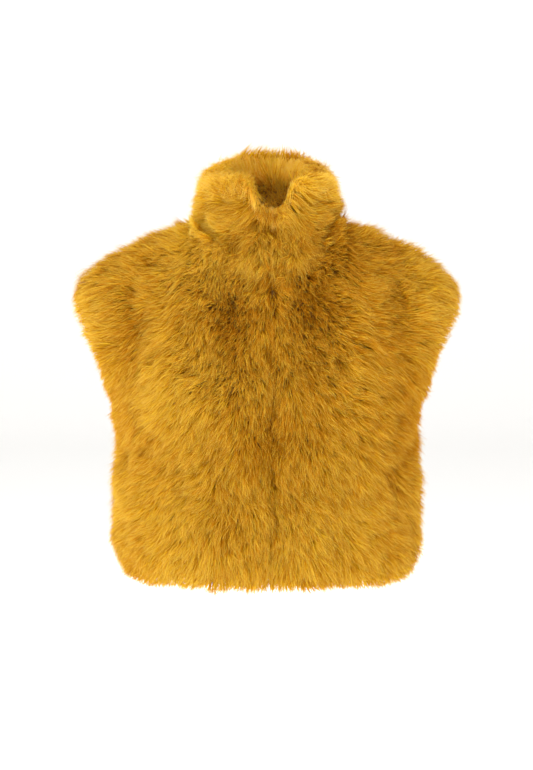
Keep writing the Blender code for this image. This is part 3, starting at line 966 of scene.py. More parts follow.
@dataclass(frozen=True)
class Comb:
    """The lie of the pile over a panel, from strokes that are blended by how near they are.

    Attributes:
        strokes: the strokes.
        reach: how far one is felt, in metres.
        far_weight: what little it still counts beyond that, so that every place has a lie.
        far_softness: keeps that weight from growing without end near the stroke.
    """

    strokes: tuple[CombStroke, ...]
    reach: float = 0.055
    far_weight: float = 1e-5
    far_softness: float = 1e-3

    def lie(self, points: Array, outward: Array) -> Array:
        """The pile's direction at each point, along the cloth.

        Args:
            points: places on the cloth.
            outward: which way is out of it there.

        Returns:
            Unit vectors that lie in the cloth.
        """
        table = np.array([(s.x, s.z, s.dx, s.dz) for s in self.strokes])
        offset = points[..., None, (0, 2)] - table[:, :2]
        square = (offset**2).sum(-1) / self.reach**2
        weight = np.exp(-square) + self.far_weight / (self.far_softness + square)
        ways = unit(table[:, 2:])
        view = (weight[..., None] * ways).sum(-2)
        lie = np.stack([view[..., 0], np.zeros_like(view[..., 0]), view[..., 1]], axis=-1)
        lie = lie - outward * dot(lie, outward)
        return unit(lie)


@dataclass(frozen=True)
class Growth:
    """How the pile differs over a wall's grid, each a value for (rows, columns) or one for all.

    Attributes:
        height: how much of its height it keeps.
        travel: how much of its length along the cloth.
        crowding: how many times as many strands grow.
        painted_light: how much lighter it is painted: painted light where it lies in shade.
    """

    height: Array | float = 1.0
    travel: Array | float = 1.0
    crowding: Array | float = 1.0
    painted_light: Array | float = 0.0

    def grid(self, shape: tuple[int, int]) -> Array:
        """All four values in one grid, (rows, columns, 4)."""
        values = (self.height, self.travel, self.crowding, self.painted_light)
        return np.stack([np.broadcast_to(value, shape) for value in values], axis=-1).astype(float)


@dataclass(frozen=True)
class Drift:
    """A value that drifts over the pile: how much, over how many metres and on which seed."""

    amount: float
    size: float
    seed_step: int

    def at(self, points: Array, seed: int) -> Array:
        """Its value at each place, on a seed that comes after the pile's own."""
        return self.amount * drift(points, self.size, seed + self.seed_step)


@dataclass(frozen=True)
class Disorder:
    """How far locks and strands stray from their neighbours, in metres, radians or shares.

    Attributes:
        swirls: how the locks' ways drift.
        bumps: how their heights drift.
        lengths: how their lengths drift, and lock_length how far single locks differ.
        tones: how their tones drift, and lock_tone and strand_tone how far single ones differ.
        lock_heights: the shape of the spread of their heights.
        most_upright: how upright a patch can make them.
        splay: how far over a free edge they reach, from and to.
        aside: how far a strand's tip strays across its lock, and ahead along it.
        held: how far a strand's tip is drawn in to the middle of its lock, from and to.
        flyaways: the share of strands that stand proud, by flyaway_height, and are finer.
        turn: how far a strand's flat side turns.
    """

    swirls: tuple[Drift, ...] = (Drift(0.26, 0.034, 1), Drift(0.20, 0.013, 5))
    bumps: tuple[Drift, ...] = (Drift(0.07, 0.022, 3), Drift(0.05, 0.009, 6))
    lengths: Drift = Drift(0.16, 0.05, 2)
    tones: Drift = Drift(0.09, 0.07, 4)
    lock_length: float = 0.22
    length_range: tuple[float, float] = (0.3, 1.6)
    lock_tone: float = 0.08
    strand_tone: float = 0.42
    lock_heights: tuple[float, float] = (2.0, 1.6)
    strand_heights: tuple[float, float] = (0.86, 1.12)
    most_upright: float = 0.8
    splay: tuple[float, float] = (-0.5, 1.0)
    aside: float = 0.0028
    ahead: float = 0.0036
    held: tuple[float, float] = (0.10, 0.75)
    flyaways: float = 0.07
    flyaway_height: float = 1.15
    flyaway_width: float = 0.6
    turn: float = 0.45
    widths: tuple[float, float] = (0.7, 1.3)


@dataclass(frozen=True)
class Locks:
    """The locks of a piece of pile.

    Attributes:
        rows: where each grows, in steps of the grid.
        columns: the same along the columns.
        steps: one step along the rows and one along the columns there, in metres.
        out: which way is out of the cloth.
        comb: which way the lock lies.
        moved: how far its tips lie from its roots, along the cloth.
        rise: how high it stands, as a share of the wall.
        loose: how much of its lie it keeps where a patch makes it stand up.
        tone: how light it is, 0.5 in the middle, with painted shade and light from the patches and
            growth.
    """

    rows: Array
    columns: Array
    steps: tuple[Array, Array]
    out: Array
    comb: Array
    moved: Array
    rise: Array
    loose: Array
    tone: Array


@dataclass(frozen=True)
class Pile:
    """The fur of one panel: locks of fine strands that run together towards their tips.

    Attributes:
        name: the piece's name.
        wall: the panel that it grows on.
        lie: which way the pile lies at each point of the wall's grid, (rows, columns, 3).
        strands: how many strands there are.
        seed: which random locks are grown.
        travel: how far a strand's tip lies from its root, along the cloth.
        lock: how many strands make a lock.
        lock_radius: half the width of a lock at its roots.
        strand_width: a strand's width at its root.
        longest: no strand is longer than this, in metres.
        share: the part of the wall's columns that this piece covers.
        patches: places where it is painted darker or lighter (painted shade and light), flatter or
            prouder.
        low: how high the lowest locks stand, as a share of the wall.
        growth: how the pile differs from place to place.
        wildness: how far the locks' ways differ, in radians.
        unevenness: how much the locks differ in height.
        ruffle: steps of the finer grid by which a strand's slant strays from its neighbours'.
        edge_ease: how far from a free edge the pile starts to lie short of it.
        edge_spread: how far it splays over that edge.
        parted: whether no strand crosses the wall's first column, or its last.
        steps: how many times finer than the wall's the grid is.
        along: the places along a strand, from root to tip, that the next four tell of.
        rise: the share of its height that it has reached.
        carried: the share of its way along the cloth.
        gather: how far it has drawn in to its lock.
        taper: its width, as a share of that at the root.
    """

    name: str
    wall: Wall
    lie: Array
    strands: int
    seed: int
    travel: float = 0.0160
    lock: int = 6
    lock_radius: float = 0.0034
    strand_width: float = 0.00100
    longest: float = 0.052
    share: tuple[float, float] = (0.0, 1.0)
    patches: tuple[Patch, ...] = ()
    low: float = 0.80
    growth: Growth = Growth()
    wildness: float = 0.19
    unevenness: float = 1.3
    ruffle: float = 0.8
    edge_ease: float = 0.034
    edge_spread: float = 0.004
    parted: tuple[bool, bool] = (False, False)
    steps: int = 3
    along: tuple[float, ...] = (0.0, 0.5, 1.0)
    rise: tuple[float, ...] = (0.10, 0.67, 1.0)
    carried: tuple[float, ...] = (0.0, 0.36, 1.0)
    gather: tuple[float, ...] = (0.0, 0.45, 1.0)
    taper: tuple[float, ...] = (0.9, 0.9, 0.0)
    disorder: Disorder = Disorder()

    def build(self, finish: bpy.types.Material) -> bpy.types.Object:
        """Grows the strands and joins them in one mesh.

        Args:
            finish: the pile's material.

        Returns:
            The finished piece.
        """
        rng = np.random.default_rng(self.seed)
        known = evened(finer(self._known(), self.steps))
        locks = self._locks(known, rng)
        return self._ribbons(*self._strands(known, locks, rng), finish)

    def _locks(self, known: Array, rng: np.random.Generator) -> Locks:
        """Scatters the locks over the cloth and combs each of them."""
        astray, inside = self.disorder, known[..., :3]
        count = max(self.strands // self.lock, 1)
        rows, columns = self._scatter(inside, np.maximum(known[..., 18], 0.0), count, rng)
        here = read_grid(known, rows, columns)
        root, out, comb = here[:, :3], unit(here[:, 6:9]), unit(here[:, 9:12])
        way, distance, growth = here[:, 12:15], here[:, 15:16], here[:, 16:20]
        places = zip((rows, columns), inside.shape)
        cell = tuple(np.minimum(place.astype(int), size - 2) for place, size in places)
        steps = tuple(np.diff(inside, axis=axis)[cell] for axis in (0, 1))

        swirl = sum(part.at(root, self.seed) for part in astray.swirls)
        swirl = (swirl + self.wildness * rng.normal(size=count))[:, None]
        comb = unit(comb * np.cos(swirl) + np.cross(out, comb) * np.sin(swirl))
        rise = self.low + (1 - self.low) * rng.beta(*astray.lock_heights, count)
        rise = rise * (1 + self.unevenness * sum(part.at(root, self.seed) for part in astray.bumps))
        tone = 0.5 + astray.lock_tone * rng.normal(size=count) + astray.tones.at(root, self.seed)
        longer = 1 + astray.lengths.at(root, self.seed)
        longer = longer + astray.lock_length * rng.normal(size=count)
        standing = np.zeros(count)
        # The patches' tones are painted shade and light on the locks.
        for patch in self.patches:
            near = patch.nearness(root)
            tone, rise = tone + patch.tone * near, rise + patch.height * near
            standing = standing + patch.stand * near
        # The growth's last value is painted light, added to the tone.
        rise, tone = rise * growth[:, 0], tone + growth[:, 3]
        loose = 1 - np.clip(standing, 0.0, astray.most_upright)
        longer = np.clip(longer, *astray.length_range)
        moved = comb * (self.travel * growth[:, 1] * longer * loose)[:, None]
        towards = dot(moved, way)
        ease = np.clip(distance / self.edge_ease, 0.0, 1.0)
        eased = np.where(towards > 0, towards * ease, towards)
        spread = self.edge_spread * rng.uniform(*astray.splay, (count, 1)) * (1 - ease)
        moved = moved + way * (eased - towards + spread)
        return Locks(rows, columns, steps, out, comb, moved, rise, loose, tone)

    def _strands(self, known: Array, locks: Locks, rng: np.random.Generator) -> tuple[Array, ...]:
        """Grows the strands of each lock.

        Args:
            known: all that is known at each point of the grid.
            locks: the locks.
            rng: the source of random numbers.

        Returns:
            The strands' spines, the way each one's flat side looks, their widths and their tones.
        """
        astray = self.disorder
        inside, reach = known[..., :3], known[..., 3:6] - known[..., :3]
        owner = np.repeat(np.arange(len(locks.rows)), self.lock)
        count = len(owner)
        out, comb, loose = locks.out[owner], locks.comb[owner], locks.loose[owner]
        steps = [step[owner] for step in locks.steps]
        side = np.cross(out, comb)
        turn = rng.uniform(0, 2 * math.pi, count)
        radius = self.lock_radius * np.sqrt(rng.uniform(0, 1, count))
        apart = comb * (radius * np.cos(turn))[:, None] + side * (radius * np.sin(turn))[:, None]
        stray = side * (astray.aside * rng.normal(size=count))[:, None]
        stray = stray + comb * (astray.ahead * rng.normal(size=count))[:, None]
        shifts = [self._to_steps(vector, *steps) for vector in (apart, locks.moved[owner], stray)]
        held = rng.uniform(*astray.held, count) * loose
        height = locks.rise[owner] * rng.uniform(*astray.strand_heights, count)
        flyaway = rng.uniform(0, 1, count) < astray.flyaways
        height = np.where(flyaway, height * astray.flyaway_height, height)
        ruffle = self.ruffle * rng.normal(size=count)

        points = []
        for rise, carried, gather in zip(self.rise, self.carried, self.gather):
            rows, columns = (
                start[owner] + near * (1 - held * gather) + far * carried + off * gather
                for start, near, far, off in zip((locks.rows, locks.columns), *shifts)
            )
            past = rng.uniform(0, 1, count) ** 2
            rows, columns = self._kept_on(rows, columns, inside.shape, past)
            slant = np.clip(rows + ruffle, -2.0, len(inside) + 1.0)
            over = read_grid(reach, slant, columns) * (height * rise)[:, None]
            points.append(read_grid(inside, rows, columns) + over)
        spine = np.stack(points, axis=1)
        root = spine[:, :1]
        length = np.linalg.norm(spine[:, -1] - spine[:, 0], axis=-1)
        spine = root + (spine - root) * np.minimum(1.0, self.longest / length)[:, None, None]

        turned = np.tan(rng.uniform(-astray.turn, astray.turn, count))[:, None]
        width = self.strand_width * rng.uniform(*astray.widths, count)
        width = width * np.where(flyaway, astray.flyaway_width, 1.0)
        tone = locks.tone[owner] + astray.strand_tone * rng.normal(size=count)
        return spine, unit(out + side * turned), width, tone

    def _known(self) -> Array:
        """Inside, tips, outward, lie, free way and growth at each point, (rows, columns, 20)."""
        wall, growth = self.wall, self.growth.grid(self.lie.shape[:2])
        parts = [wall.inside, wall.tips, wall.outward, self.lie, wall.free_way, growth]
        own = np.concatenate(parts, axis=-1)
        grids = [own]
        if wall.before is not None:
            grids.insert(0, self._carried_on(own[:1], wall.before))
        if wall.after is not None:
            own[-1, :, 6:9] = (0.0, 0.0, 1.0)
            grids.append(self._carried_on(own[-1:], wall.after))
        return np.concatenate(grids)

    def _carried_on(self, border: Array, rows: Array) -> Array:
        """The border row's values over rows of the next panel, where nothing takes root."""
        more = border.repeat(len(rows), axis=0)
        more[..., :9], more[..., 18] = rows, 0.0
        return more

    def _scatter(
        self, inside: Array, crowding: Array, count: int, rng: np.random.Generator
    ) -> tuple[Array, Array]:
        """Random places on the cloth, in steps of its grid, and closer where it is crowded."""
        columns = inside.shape[1]
        first, last = (int(round(share * (columns - 1))) for share in self.share)
        across = inside[:-1, first + 1 : last + 1] - inside[:-1, first:last]
        up = inside[1:, first:last] - inside[:-1, first:last]
        area = np.linalg.norm(np.cross(across, up), axis=-1) * crowding[:-1, first:last]
        total = np.cumsum(area)
        picks = (np.arange(count) + rng.uniform(0, 1, count)) / count * total[-1]
        cell = np.searchsorted(total, picks)
        row, column = np.divmod(np.minimum(cell, area.size - 1), last - first)
        return row + rng.uniform(0, 1, count), first + column + rng.uniform(0, 1, count)

    def _to_steps(self, vector: Array, step_r: Array, step_c: Array) -> tuple[Array, Array]:
        """A vector along the cloth, in steps of the grid's rows and columns.

        Where they are nearly in line, the scale keeps a floor, so that no step grows out of bounds.
        """
        rr, cc, rc = ((a * b).sum(-1) for a, b in ((step_r,) * 2, (step_c,) * 2, (step_r, step_c)))
        vr, vc = (vector * step_r).sum(-1), (vector * step_c).sum(-1)
        scale = np.maximum(rr * cc - rc * rc, 0.3 * rr * cc + 1e-14)
        return (vr * cc - vc * rc) / scale, (vc * rr - vr * rc) / scale

    def _kept_on(
        self, rows: Array, columns: Array, shape: tuple[int, ...], stray: Array
    ) -> tuple[Array, Array]:
        """Places held within a few steps of the grid, so that none goes far past a border."""
        past = 0.4 + 1.6 * stray
        before, after = (stray if parted else past for parted in self.parted)
        rows = np.clip(rows, -past, shape[0] - 1 + past)
        return rows, np.clip(columns, -before, shape[1] - 1 + after)

    def _ribbons(
        self, spine: Array, facing: Array, width: Array, tone: Array, finish: bpy.types.Material
    ) -> bpy.types.Object:
        """Turns each strand's spine into a tapered ribbon, and joins them all.

        Args:
            spine: the strands' points, (strands, points, 3).
            facing: which way each ribbon's flat side looks.
            width: how wide each strand is at its root.
            tone: how light each strand is, 0.5 in the middle.
            finish: the pile's material.

        Returns:
            The finished piece.
        """
        count, rings = spine.shape[:2]
        tangent = np.gradient(spine, axis=1)
        side = unit(np.cross(tangent, facing[:, None, :]))
        half = width[:, None, None] / 2 * np.array(self.taper)[None, :, None]
        left, right = spine - side * half, spine + side * half
        body = np.stack([left[:, :-1], right[:, :-1]], axis=2).reshape(count, -1, 3)
        points = np.concatenate([body, spine[:, -1:]], axis=1)
        per = points.shape[1]

        faces = []
        for ring in range(rings - 2):
            a, b, c, d = 2 * ring, 2 * ring + 1, 2 * ring + 3, 2 * ring + 2
            faces += [(a, b, c), (a, c, d)]
        faces.append((per - 3, per - 2, per - 1))
        triangles = (np.arange(count)[:, None, None] * per + np.array(faces)[None]).reshape(-1, 3)

        mesh = bpy.data.meshes.new(self.name)
        mesh.vertices.add(count * per)
        mesh.vertices.foreach_set("co", points.reshape(-1).astype(np.float32))
        mesh.loops.add(triangles.size)
        mesh.loops.foreach_set("vertex_index", triangles.reshape(-1).astype(np.int32))
        mesh.polygons.add(len(triangles))
        mesh.polygons.foreach_set("loop_start", np.arange(0, triangles.size, 3, dtype=np.int32))
        mesh.update(calc_edges=True)
        strand_map = mesh.uv_layers.new(name=MAP_NAME)
        v = np.clip(np.concatenate([np.repeat(self.along[:-1], 2), self.along[-1:]]), 0.01, 0.99)
        u = np.clip(tone, 0.02, 0.98)
        flat = np.stack(np.broadcast_arrays(u[:, None], v[None]), axis=-1).reshape(-1, 2)
        corners = flat[triangles.reshape(-1)].reshape(-1)
        strand_map.data.foreach_set("uv", corners.astype(np.float32))
        mesh.shade_smooth()
        mesh.materials.append(finish)
        piece = bpy.data.objects.new(self.name, mesh)
        bpy.context.scene.collection.objects.link(piece)
        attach(piece, "root")
        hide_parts(self.wall.name)
        LOG.info("%s: %d strands, %d triangles", self.name, count, len(triangles))
        return piece


# ---------------------------------------------------------------- the vest


FRONT_STROKES = strokes(
    (-0.265, -0.105, -1.0, -0.1), (-0.235, -0.045, -1.0, -0.08), (-0.145, -0.015, -1.0, -0.12),
    (-0.15, -0.09, -0.9, -0.45), (-0.18, -0.19, -0.55, -0.85), (-0.075, -0.06, -0.35, -0.95),
    (-0.06, -0.15, -0.15, -1.0), (-0.115, -0.18, -0.75, -0.7), (0.0, -0.06, 0.02, -1.0),
    (0.0, -0.14, 0.0, -1.0), (-0.04, -0.26, -0.2, -1.0), (0.04, -0.26, 0.15, -1.0),
    (-0.175, -0.315, -0.75, -0.75), (-0.11, -0.33, -0.6, -0.8), (-0.012, -0.39, 0.35, -0.93),
    (-0.205, -0.4, -0.45, -0.95), (-0.205, -0.475, -1.0, -0.4), (-0.11, -0.47, -0.45, -0.9),
    (0.0, -0.48, 0.0, -1.0), (0.265, -0.105, 1.0, -0.15), (0.245, -0.045, 1.0, -0.1),
    (0.15, -0.02, 1.0, -0.25), (0.16, -0.1, 0.95, -0.4), (0.07, -0.07, 0.35, -0.95),
    (0.13, -0.16, 0.95, -0.28), (0.06, -0.17, 0.35, -0.95), (0.195, -0.22, 0.6, -0.8),
    (0.155, -0.28, 0.78, -0.62), (0.08, -0.33, 0.45, -0.88), (0.208, -0.33, 0.15, -1.0),
    (0.15, -0.42, 0.72, -0.7), (0.215, -0.42, 0.5, -0.9), (0.21, -0.485, 1.0, -0.35),
    (0.1, -0.475, 0.5, -0.88),
)
# The minus tones are painted shade where the pile lies lower.
BACK_PATCHES = patches(
    (0.14, -0.01, 0.022, 0.02, 0.0, 0.16), (0.205, -0.49, 0.05, 0.045, 0.0, 0.2),
    (0.0, -0.13, 0.06, 0.05, -0.16, -0.03), (-0.1, -0.26, 0.045, 0.035, -0.14, -0.03),
)
BACK_STROKES = strokes(
    (-0.265, -0.105, -1.0, -0.15), (-0.235, -0.045, -1.0, -0.1), (-0.14, -0.015, -0.95, -0.3),
    (-0.14, -0.11, -0.65, -0.75), (-0.06, -0.04, -0.15, -1.0), (-0.06, -0.18, -0.18, -1.0),
    (-0.18, -0.24, -0.45, -0.9), (-0.11, -0.33, -0.35, -0.95), (-0.205, -0.4, -0.35, -0.95),
    (-0.205, -0.475, -0.9, -0.5), (-0.1, -0.47, -0.3, -0.95), (0.0, -0.1, 0.05, -1.0),
    (0.0, -0.3, -0.05, -1.0), (0.0, -0.48, 0.0, -1.0), (0.06, -0.04, 0.2, -1.0),
    (0.06, -0.18, 0.1, -1.0), (0.14, -0.11, 0.6, -0.8), (0.14, -0.015, 0.95, -0.3),
    (0.235, -0.045, 1.0, -0.1), (0.265, -0.105, 1.0, -0.15), (0.18, -0.24, 0.5, -0.85),
    (0.11, -0.33, 0.3, -0.95), (0.205, -0.4, 0.4, -0.92), (0.205, -0.475, 0.9, -0.5),
    (0.1, -0.47, 0.35, -0.92),
)
COLLAR_FRONT_STROKES = strokes(
    (-0.03, 0.045, -0.8, -0.6), (0.03, 0.045, 0.75, -0.65), (0.008, 0.035, 0.0, -1.0),
    (-0.045, 0.01, -0.25, -0.97), (0.05, 0.01, 0.22, -0.97), (0.008, -0.015, 0.0, -1.0),
    (-0.06, 0.035, -0.35, -0.92), (-0.085, 0.005, -0.6, -0.8), (-0.092, 0.035, -0.5, -0.86),
    (-0.092, 0.065, -0.8, -0.5), (-0.065, 0.085, -0.3, 0.95), (-0.04, 0.072, 0.45, 0.9),
    (0.085, 0.01, 0.75, -0.65), (0.088, 0.045, 0.8, -0.6), (0.075, 0.08, 1.0, 0.2),
    (0.045, 0.09, 0.85, 0.5),
)
COLLAR_BACK_STROKES = strokes(
    (-0.085, 0.088, 1.0, 0.0), (-0.05, 0.112, 0.35, 0.94), (-0.05, 0.088, 1.0, 0.0),
    (-0.06, 0.06, 0.3, -0.95), (-0.08, 0.02, -0.3, -0.95), (0.0, 0.112, 0.45, 0.9),
    (0.0, 0.088, 1.0, 0.0), (0.0, 0.06, 0.35, -0.94), (0.0, 0.02, 0.0, -1.0),
    (0.05, 0.11, 0.6, 0.8), (0.05, 0.086, 1.0, 0.0), (0.06, 0.06, 0.5, -0.86),
    (0.08, 0.02, 0.4, -0.92),
)
# Their tones are painted light and shade on the collar: plus lighter, minus darker.
COLLAR_PATCHES = patches(
    (0.085, 0.005, 0.022, 0.026, -0.3), (0.005, 0.012, 0.006, 0.02, -0.42, -0.26),
    (0.024, 0.0, 0.006, 0.016, -0.26, -0.16), (-0.034, 0.006, 0.007, 0.014, -0.2, -0.14),
    (-0.098, 0.024, 0.018, 0.02, 0.6), (-0.03, 0.08, 0.014, 0.01, 0.05, 0.24),
    (0.042, 0.08, 0.014, 0.01, 0.05, 0.24), (0.024, 0.114, 0.018, 0.016, 0.0, -0.14),
    (0.085, 0.03, 0.025, 0.025, -0.2), (0.046, 0.008, 0.024, 0.024, -0.3),
    (0.008, 0.032, 0.004, 0.012, -0.4, -0.24), (-0.075, 0.095, 0.03, 0.016, 0.3),
    (-0.01, 0.03, 0.014, 0.01, -0.16, -0.1), (-0.078, 0.022, 0.04, 0.035, 0.62),
)
# Their tones are painted light inside the collar's shade, and one is painted shade.
FACING_PATCHES = patches(
    (-0.03, 0.08, 0.014, 0.01, 0.1, 0.24), (0.042, 0.08, 0.014, 0.01, 0.1, 0.24),
    (0.024, 0.114, 0.018, 0.016, 0.0, -0.14), (-0.072, 0.1, 0.03, 0.022, 0.3),
    (0.068, 0.1, 0.03, 0.022, 0.25), (-0.016, 0.095, 0.014, 0.006, -0.5, -0.1),
)
# Their tones are painted shade and light over the front: darker below the collar and where the pile
# stands up, lighter where more light falls.
FRONT_PATCHES = patches(
    (0.14, -0.01, 0.022, 0.02, 0.0, 0.16), (-0.085, -0.015, 0.035, 0.028, 0.38),
    (-0.09, -0.375, 0.03, 0.04, 0.14), (0.205, -0.49, 0.05, 0.045, 0.0, 0.26),
    (0.215, -0.44, 0.025, 0.09, 0.0, 0.14), (0.212, -0.28, 0.025, 0.06, 0.0, 0.14),
    (0.01, -0.095, 0.11, 0.07, -0.18), (0.008, -0.24, 0.005, 0.21, -0.36, -0.22),
    (0.01, -0.035, 0.005, 0.022, -0.36, -0.24), (-0.008, -0.055, 0.005, 0.014, -0.3, -0.18),
    (-0.184, -0.12, 0.012, 0.052, -0.38, -0.08), (-0.15, -0.205, 0.035, 0.06, 0.28),
    (-0.13, -0.4, 0.04, 0.1, 0.18), (0.175, -0.33, 0.03, 0.15, -0.2),
    (-0.042, -0.125, 0.034, 0.06, -0.03, -0.02, 0.45), (0.06, -0.1, 0.04, 0.06, -0.2, -0.03, 0.5),
    (0.0, -0.275, 0.03, 0.036, -0.18, -0.03, 0.5), (0.07, -0.25, 0.065, 0.045, -0.24, 0.0, 0.25),
    (-0.06, -0.205, 0.006, 0.014, 0.4, 0.1), (-0.05, -0.212, 0.004, 0.014, -0.35, -0.12),
    (-0.104, 0.01, 0.02, 0.018, 0.55, -0.14), (0.165, -0.13, 0.04, 0.06, -0.22),
    (-0.208, -0.245, 0.04, 0.075, -0.42), (-0.15, -0.435, 0.04, 0.04, -0.16),
    (0.205, -0.205, 0.035, 0.07, -0.32), (-0.09, -0.15, 0.032, 0.07, 0.36),
    (0.02, -0.035, 0.04, 0.03, -0.24), (0.19, -0.25, 0.05, 0.18, -0.12),
    (-0.063, -0.12, 0.04, 0.035, -0.18), (0.08, -0.098, 0.042, 0.035, -0.22),
    (0.1, -0.01, 0.03, 0.04, -0.25, -0.04), (0.172, -0.026, 0.018, 0.014, -0.25),
    (-0.018, -0.292, 0.022, 0.045, -0.26, -0.05), (-0.19, -0.32, 0.018, 0.14, 0.2),
    (0.192, -0.4, 0.02, 0.09, 0.14),
)


@dataclass(frozen=True)
class FurVest:
    """The whole vest: five panels of backing with their pile.

    Attributes:
        cut: the worn cut's sizes.
        pile: the finish of all the pile but the facing's.
        pile_painted_lighter: the finish of the facing's, in lighter colours than the rest: painted
            light where little light comes.
        knit: the finish of the backing.
        front_strands: strands of each front.
        back_strands: strands of each half of the back.
        collar_strands: strands of the collar.
        facing_strands: strands of the facing.
        flat_cuts: each panel's width, length, area and what it hangs from, flat and before sewing.
    """

    cut: VestCut = VestCut()
    pile: PileFinish = PileFinish(
        "acrylic_fur_pile",
        # The ramps darken towards the root: painted shade deep in the pile.
        dark=((0.0, "8A5000"), (0.45, "B47200"), (0.85, "C68808"), (1.0, "D2A232")),
        light=((0.0, "CE9000"), (0.45, "E8BC16"), (0.85, "EACA4A"), (1.0, "EAD474")),
    )
    # The facing's pile, painted lighter than the rest: painted light inside the collar's shade.
    pile_painted_lighter: PileFinish = PileFinish(
        "acrylic_fur_pile_painted_lighter_in_the_collar",
        # These ramps too darken towards the root: painted shade deep in the pile.
        dark=((0.0, "BC7400"), (0.45, "E0960A"), (0.85, "E8A418"), (1.0, "EAAC2C")),
        light=((0.0, "DAA006"), (0.45, "F2CA2C"), (0.85, "F2D254"), (1.0, "F0D888")),
    )
    knit: KnitFinish = KnitFinish("knitted_polyester_backing", thread="B98A35", gap="8A6118")
    front_strands: int = 65600
    back_strands: int = 47000
    collar_strands: int = 42000
    facing_strands: int = 38000
    quick_share: float = 0.25
    flat_cuts: tuple[tuple[str, float, float, float, str], ...] = (
        ("front_left", 0.31, 0.56, 0.130, "back_backing"),
        ("front_right", 0.31, 0.56, 0.139, "back_backing"),
        ("back", 0.62, 0.56, 0.283, "collar_backing"),
        ("collar", 0.56, 0.11, 0.048, "back_backing"),
        ("collar_facing", 0.56, 0.11, 0.047, "collar_backing"),
    )

    def build(self) -> None:
        walls = self.cut.walls()
        pile, pile_painted_lighter, knit = (f.material() for f in (self.pile, self.pile_painted_lighter, self.knit))
        grown = {
            "front_left": [self._front_pile(walls["front_left"], 11).build(pile)],
            "front_right": [self._front_pile(walls["front_right"], 23).build(pile)],
            "back": [half.build(pile) for half in self._back_piles(walls["back"])],
            "collar": [self._collar_pile(walls["collar"]).build(pile)],
            "collar_facing": [self._facing_pile(walls["collar_facing"]).build(pile_painted_lighter)],
        }
        for name, width, length, area, hangs_from in self.flat_cuts:
            backing = Backing(walls[name], width, length, area, (hangs_from,))
            piece = backing.build(knit)
            backing.declare(piece)
            LOG.info("%s: cut %.2f by %.2f m", piece.name, width, length)

    def _thinned(self, strands: int) -> int:
        return int(strands * (1.0))

    def _front_pile(self, wall: Wall, seed: int) -> Pile:
        """One front's fur, parted where the fronts meet."""
        lie = Comb(FRONT_STROKES).lie(wall.inside, wall.outward)
        strands, parted = self._thinned(self.front_strands), (True, False)
        name = wall.name + "_pile"
        return Pile(name, wall, lie, strands, seed, patches=FRONT_PATCHES, parted=parted)

    def _back_piles(self, wall: Wall) -> list[Pile]:
        """The back's fur, in two pieces."""
        lie = Comb(BACK_STROKES).lie(wall.inside, wall.outward)
        strands = self._thinned(self.back_strands)
        return [
            Pile("back_pile_" + end, wall, lie, strands, seed, share=share, patches=BACK_PATCHES)
            for end, seed, share in (("right", 37, (0.0, 0.5)), ("left", 41, (0.5, 1.0)))
        ]

    def _collar_pile(self, wall: Wall) -> Pile:
        """The collar's fur: up over the rim, down over the neck seam, and outward at the sides."""
        ahead = Comb(COLLAR_FRONT_STROKES, reach=0.028).lie(wall.inside, wall.outward)
        behind = Comb(COLLAR_BACK_STROKES, reach=0.032).lie(wall.inside, wall.outward)
        turned = smooth(0.5 - wall.outward[..., 1:2] * 1.5)
        low = smooth(1 - np.linalg.norm(wall.inside - wall.inside[0], axis=-1) / 0.045)
        beside = smooth((np.abs(wall.inside[..., 0]) - 0.055) / 0.02)
        growth = Growth(
            height=1 - beside * (1.3 * low * (1 - low) - 0.08 * low),
            travel=1 + 0.6 * low,
            crowding=1 + 0.8 * np.exp(-wall.free_way[..., 3] / 0.010),
        )
        return Pile(
            "collar_pile",
            wall,
            unit(mixed(behind, ahead, turned)),
            self._thinned(self.collar_strands),
            seed=53,
            travel=0.0185,
            lock=9,
            lock_radius=0.0048,
            low=0.72,
            wildness=0.30,
            unevenness=2.0,
            growth=growth,
            patches=COLLAR_PATCHES,
            parted=(True, True),
        )

    def _facing_pile(self, wall: Wall) -> Pile:
        """The facing's fur: thick round the rim, swept aside behind, and short low down there, with
        painted light against the collar's shade.
        """
        x, y, z = (wall.inside[..., axis] for axis in range(3))
        sweep = 1.5 * np.tanh((x - 0.005) / 0.012) * smooth(y / 0.04)
        up = np.stack([sweep, np.zeros_like(x), np.ones_like(x)], axis=-1)
        lie = unit(up - wall.outward * dot(up, wall.outward))
        ahead, behind = smooth((-0.03 - y) / 0.02), smooth((y - 0.015) / 0.035)
        to_rim = np.linalg.norm(wall.inside - wall.inside[-1], axis=-1)
        notch = ahead * smooth((0.060 - np.abs(x - 0.008)) / 0.03) * smooth(1 - to_rim / 0.014)
        cropped = behind * smooth((0.084 - z) / 0.016)
        # Painted light: lighter towards the rim, more so at +X.
        top = smooth(1 - to_rim / 0.05) * (0.34 + 0.26 * smooth(x / 0.02))
        growth = Growth(
            height=(1 - 0.50 * cropped) * (1 - 0.15 * notch),
            travel=(1 - 0.80 * cropped) * (1 - 0.55 * notch),
            crowding=1 + 0.6 * np.exp(-to_rim / 0.010),
            # Painted light at the notch, on the short pile low behind and near the top, against the
            # shade inside the collar.
            painted_light=0.40 * notch + 0.75 * cropped + top,
        )
        return Pile(
            "collar_facing_pile",
            wall,
            lie,
            self._thinned(self.facing_strands),
            seed=67,
            travel=0.024,
            low=0.82,
            edge_ease=0.0001,
            edge_spread=0.0,
            growth=growth,
            patches=FACING_PATCHES,
            parted=(True, True),
        )


# ---------------------------------------------------------------- the studio


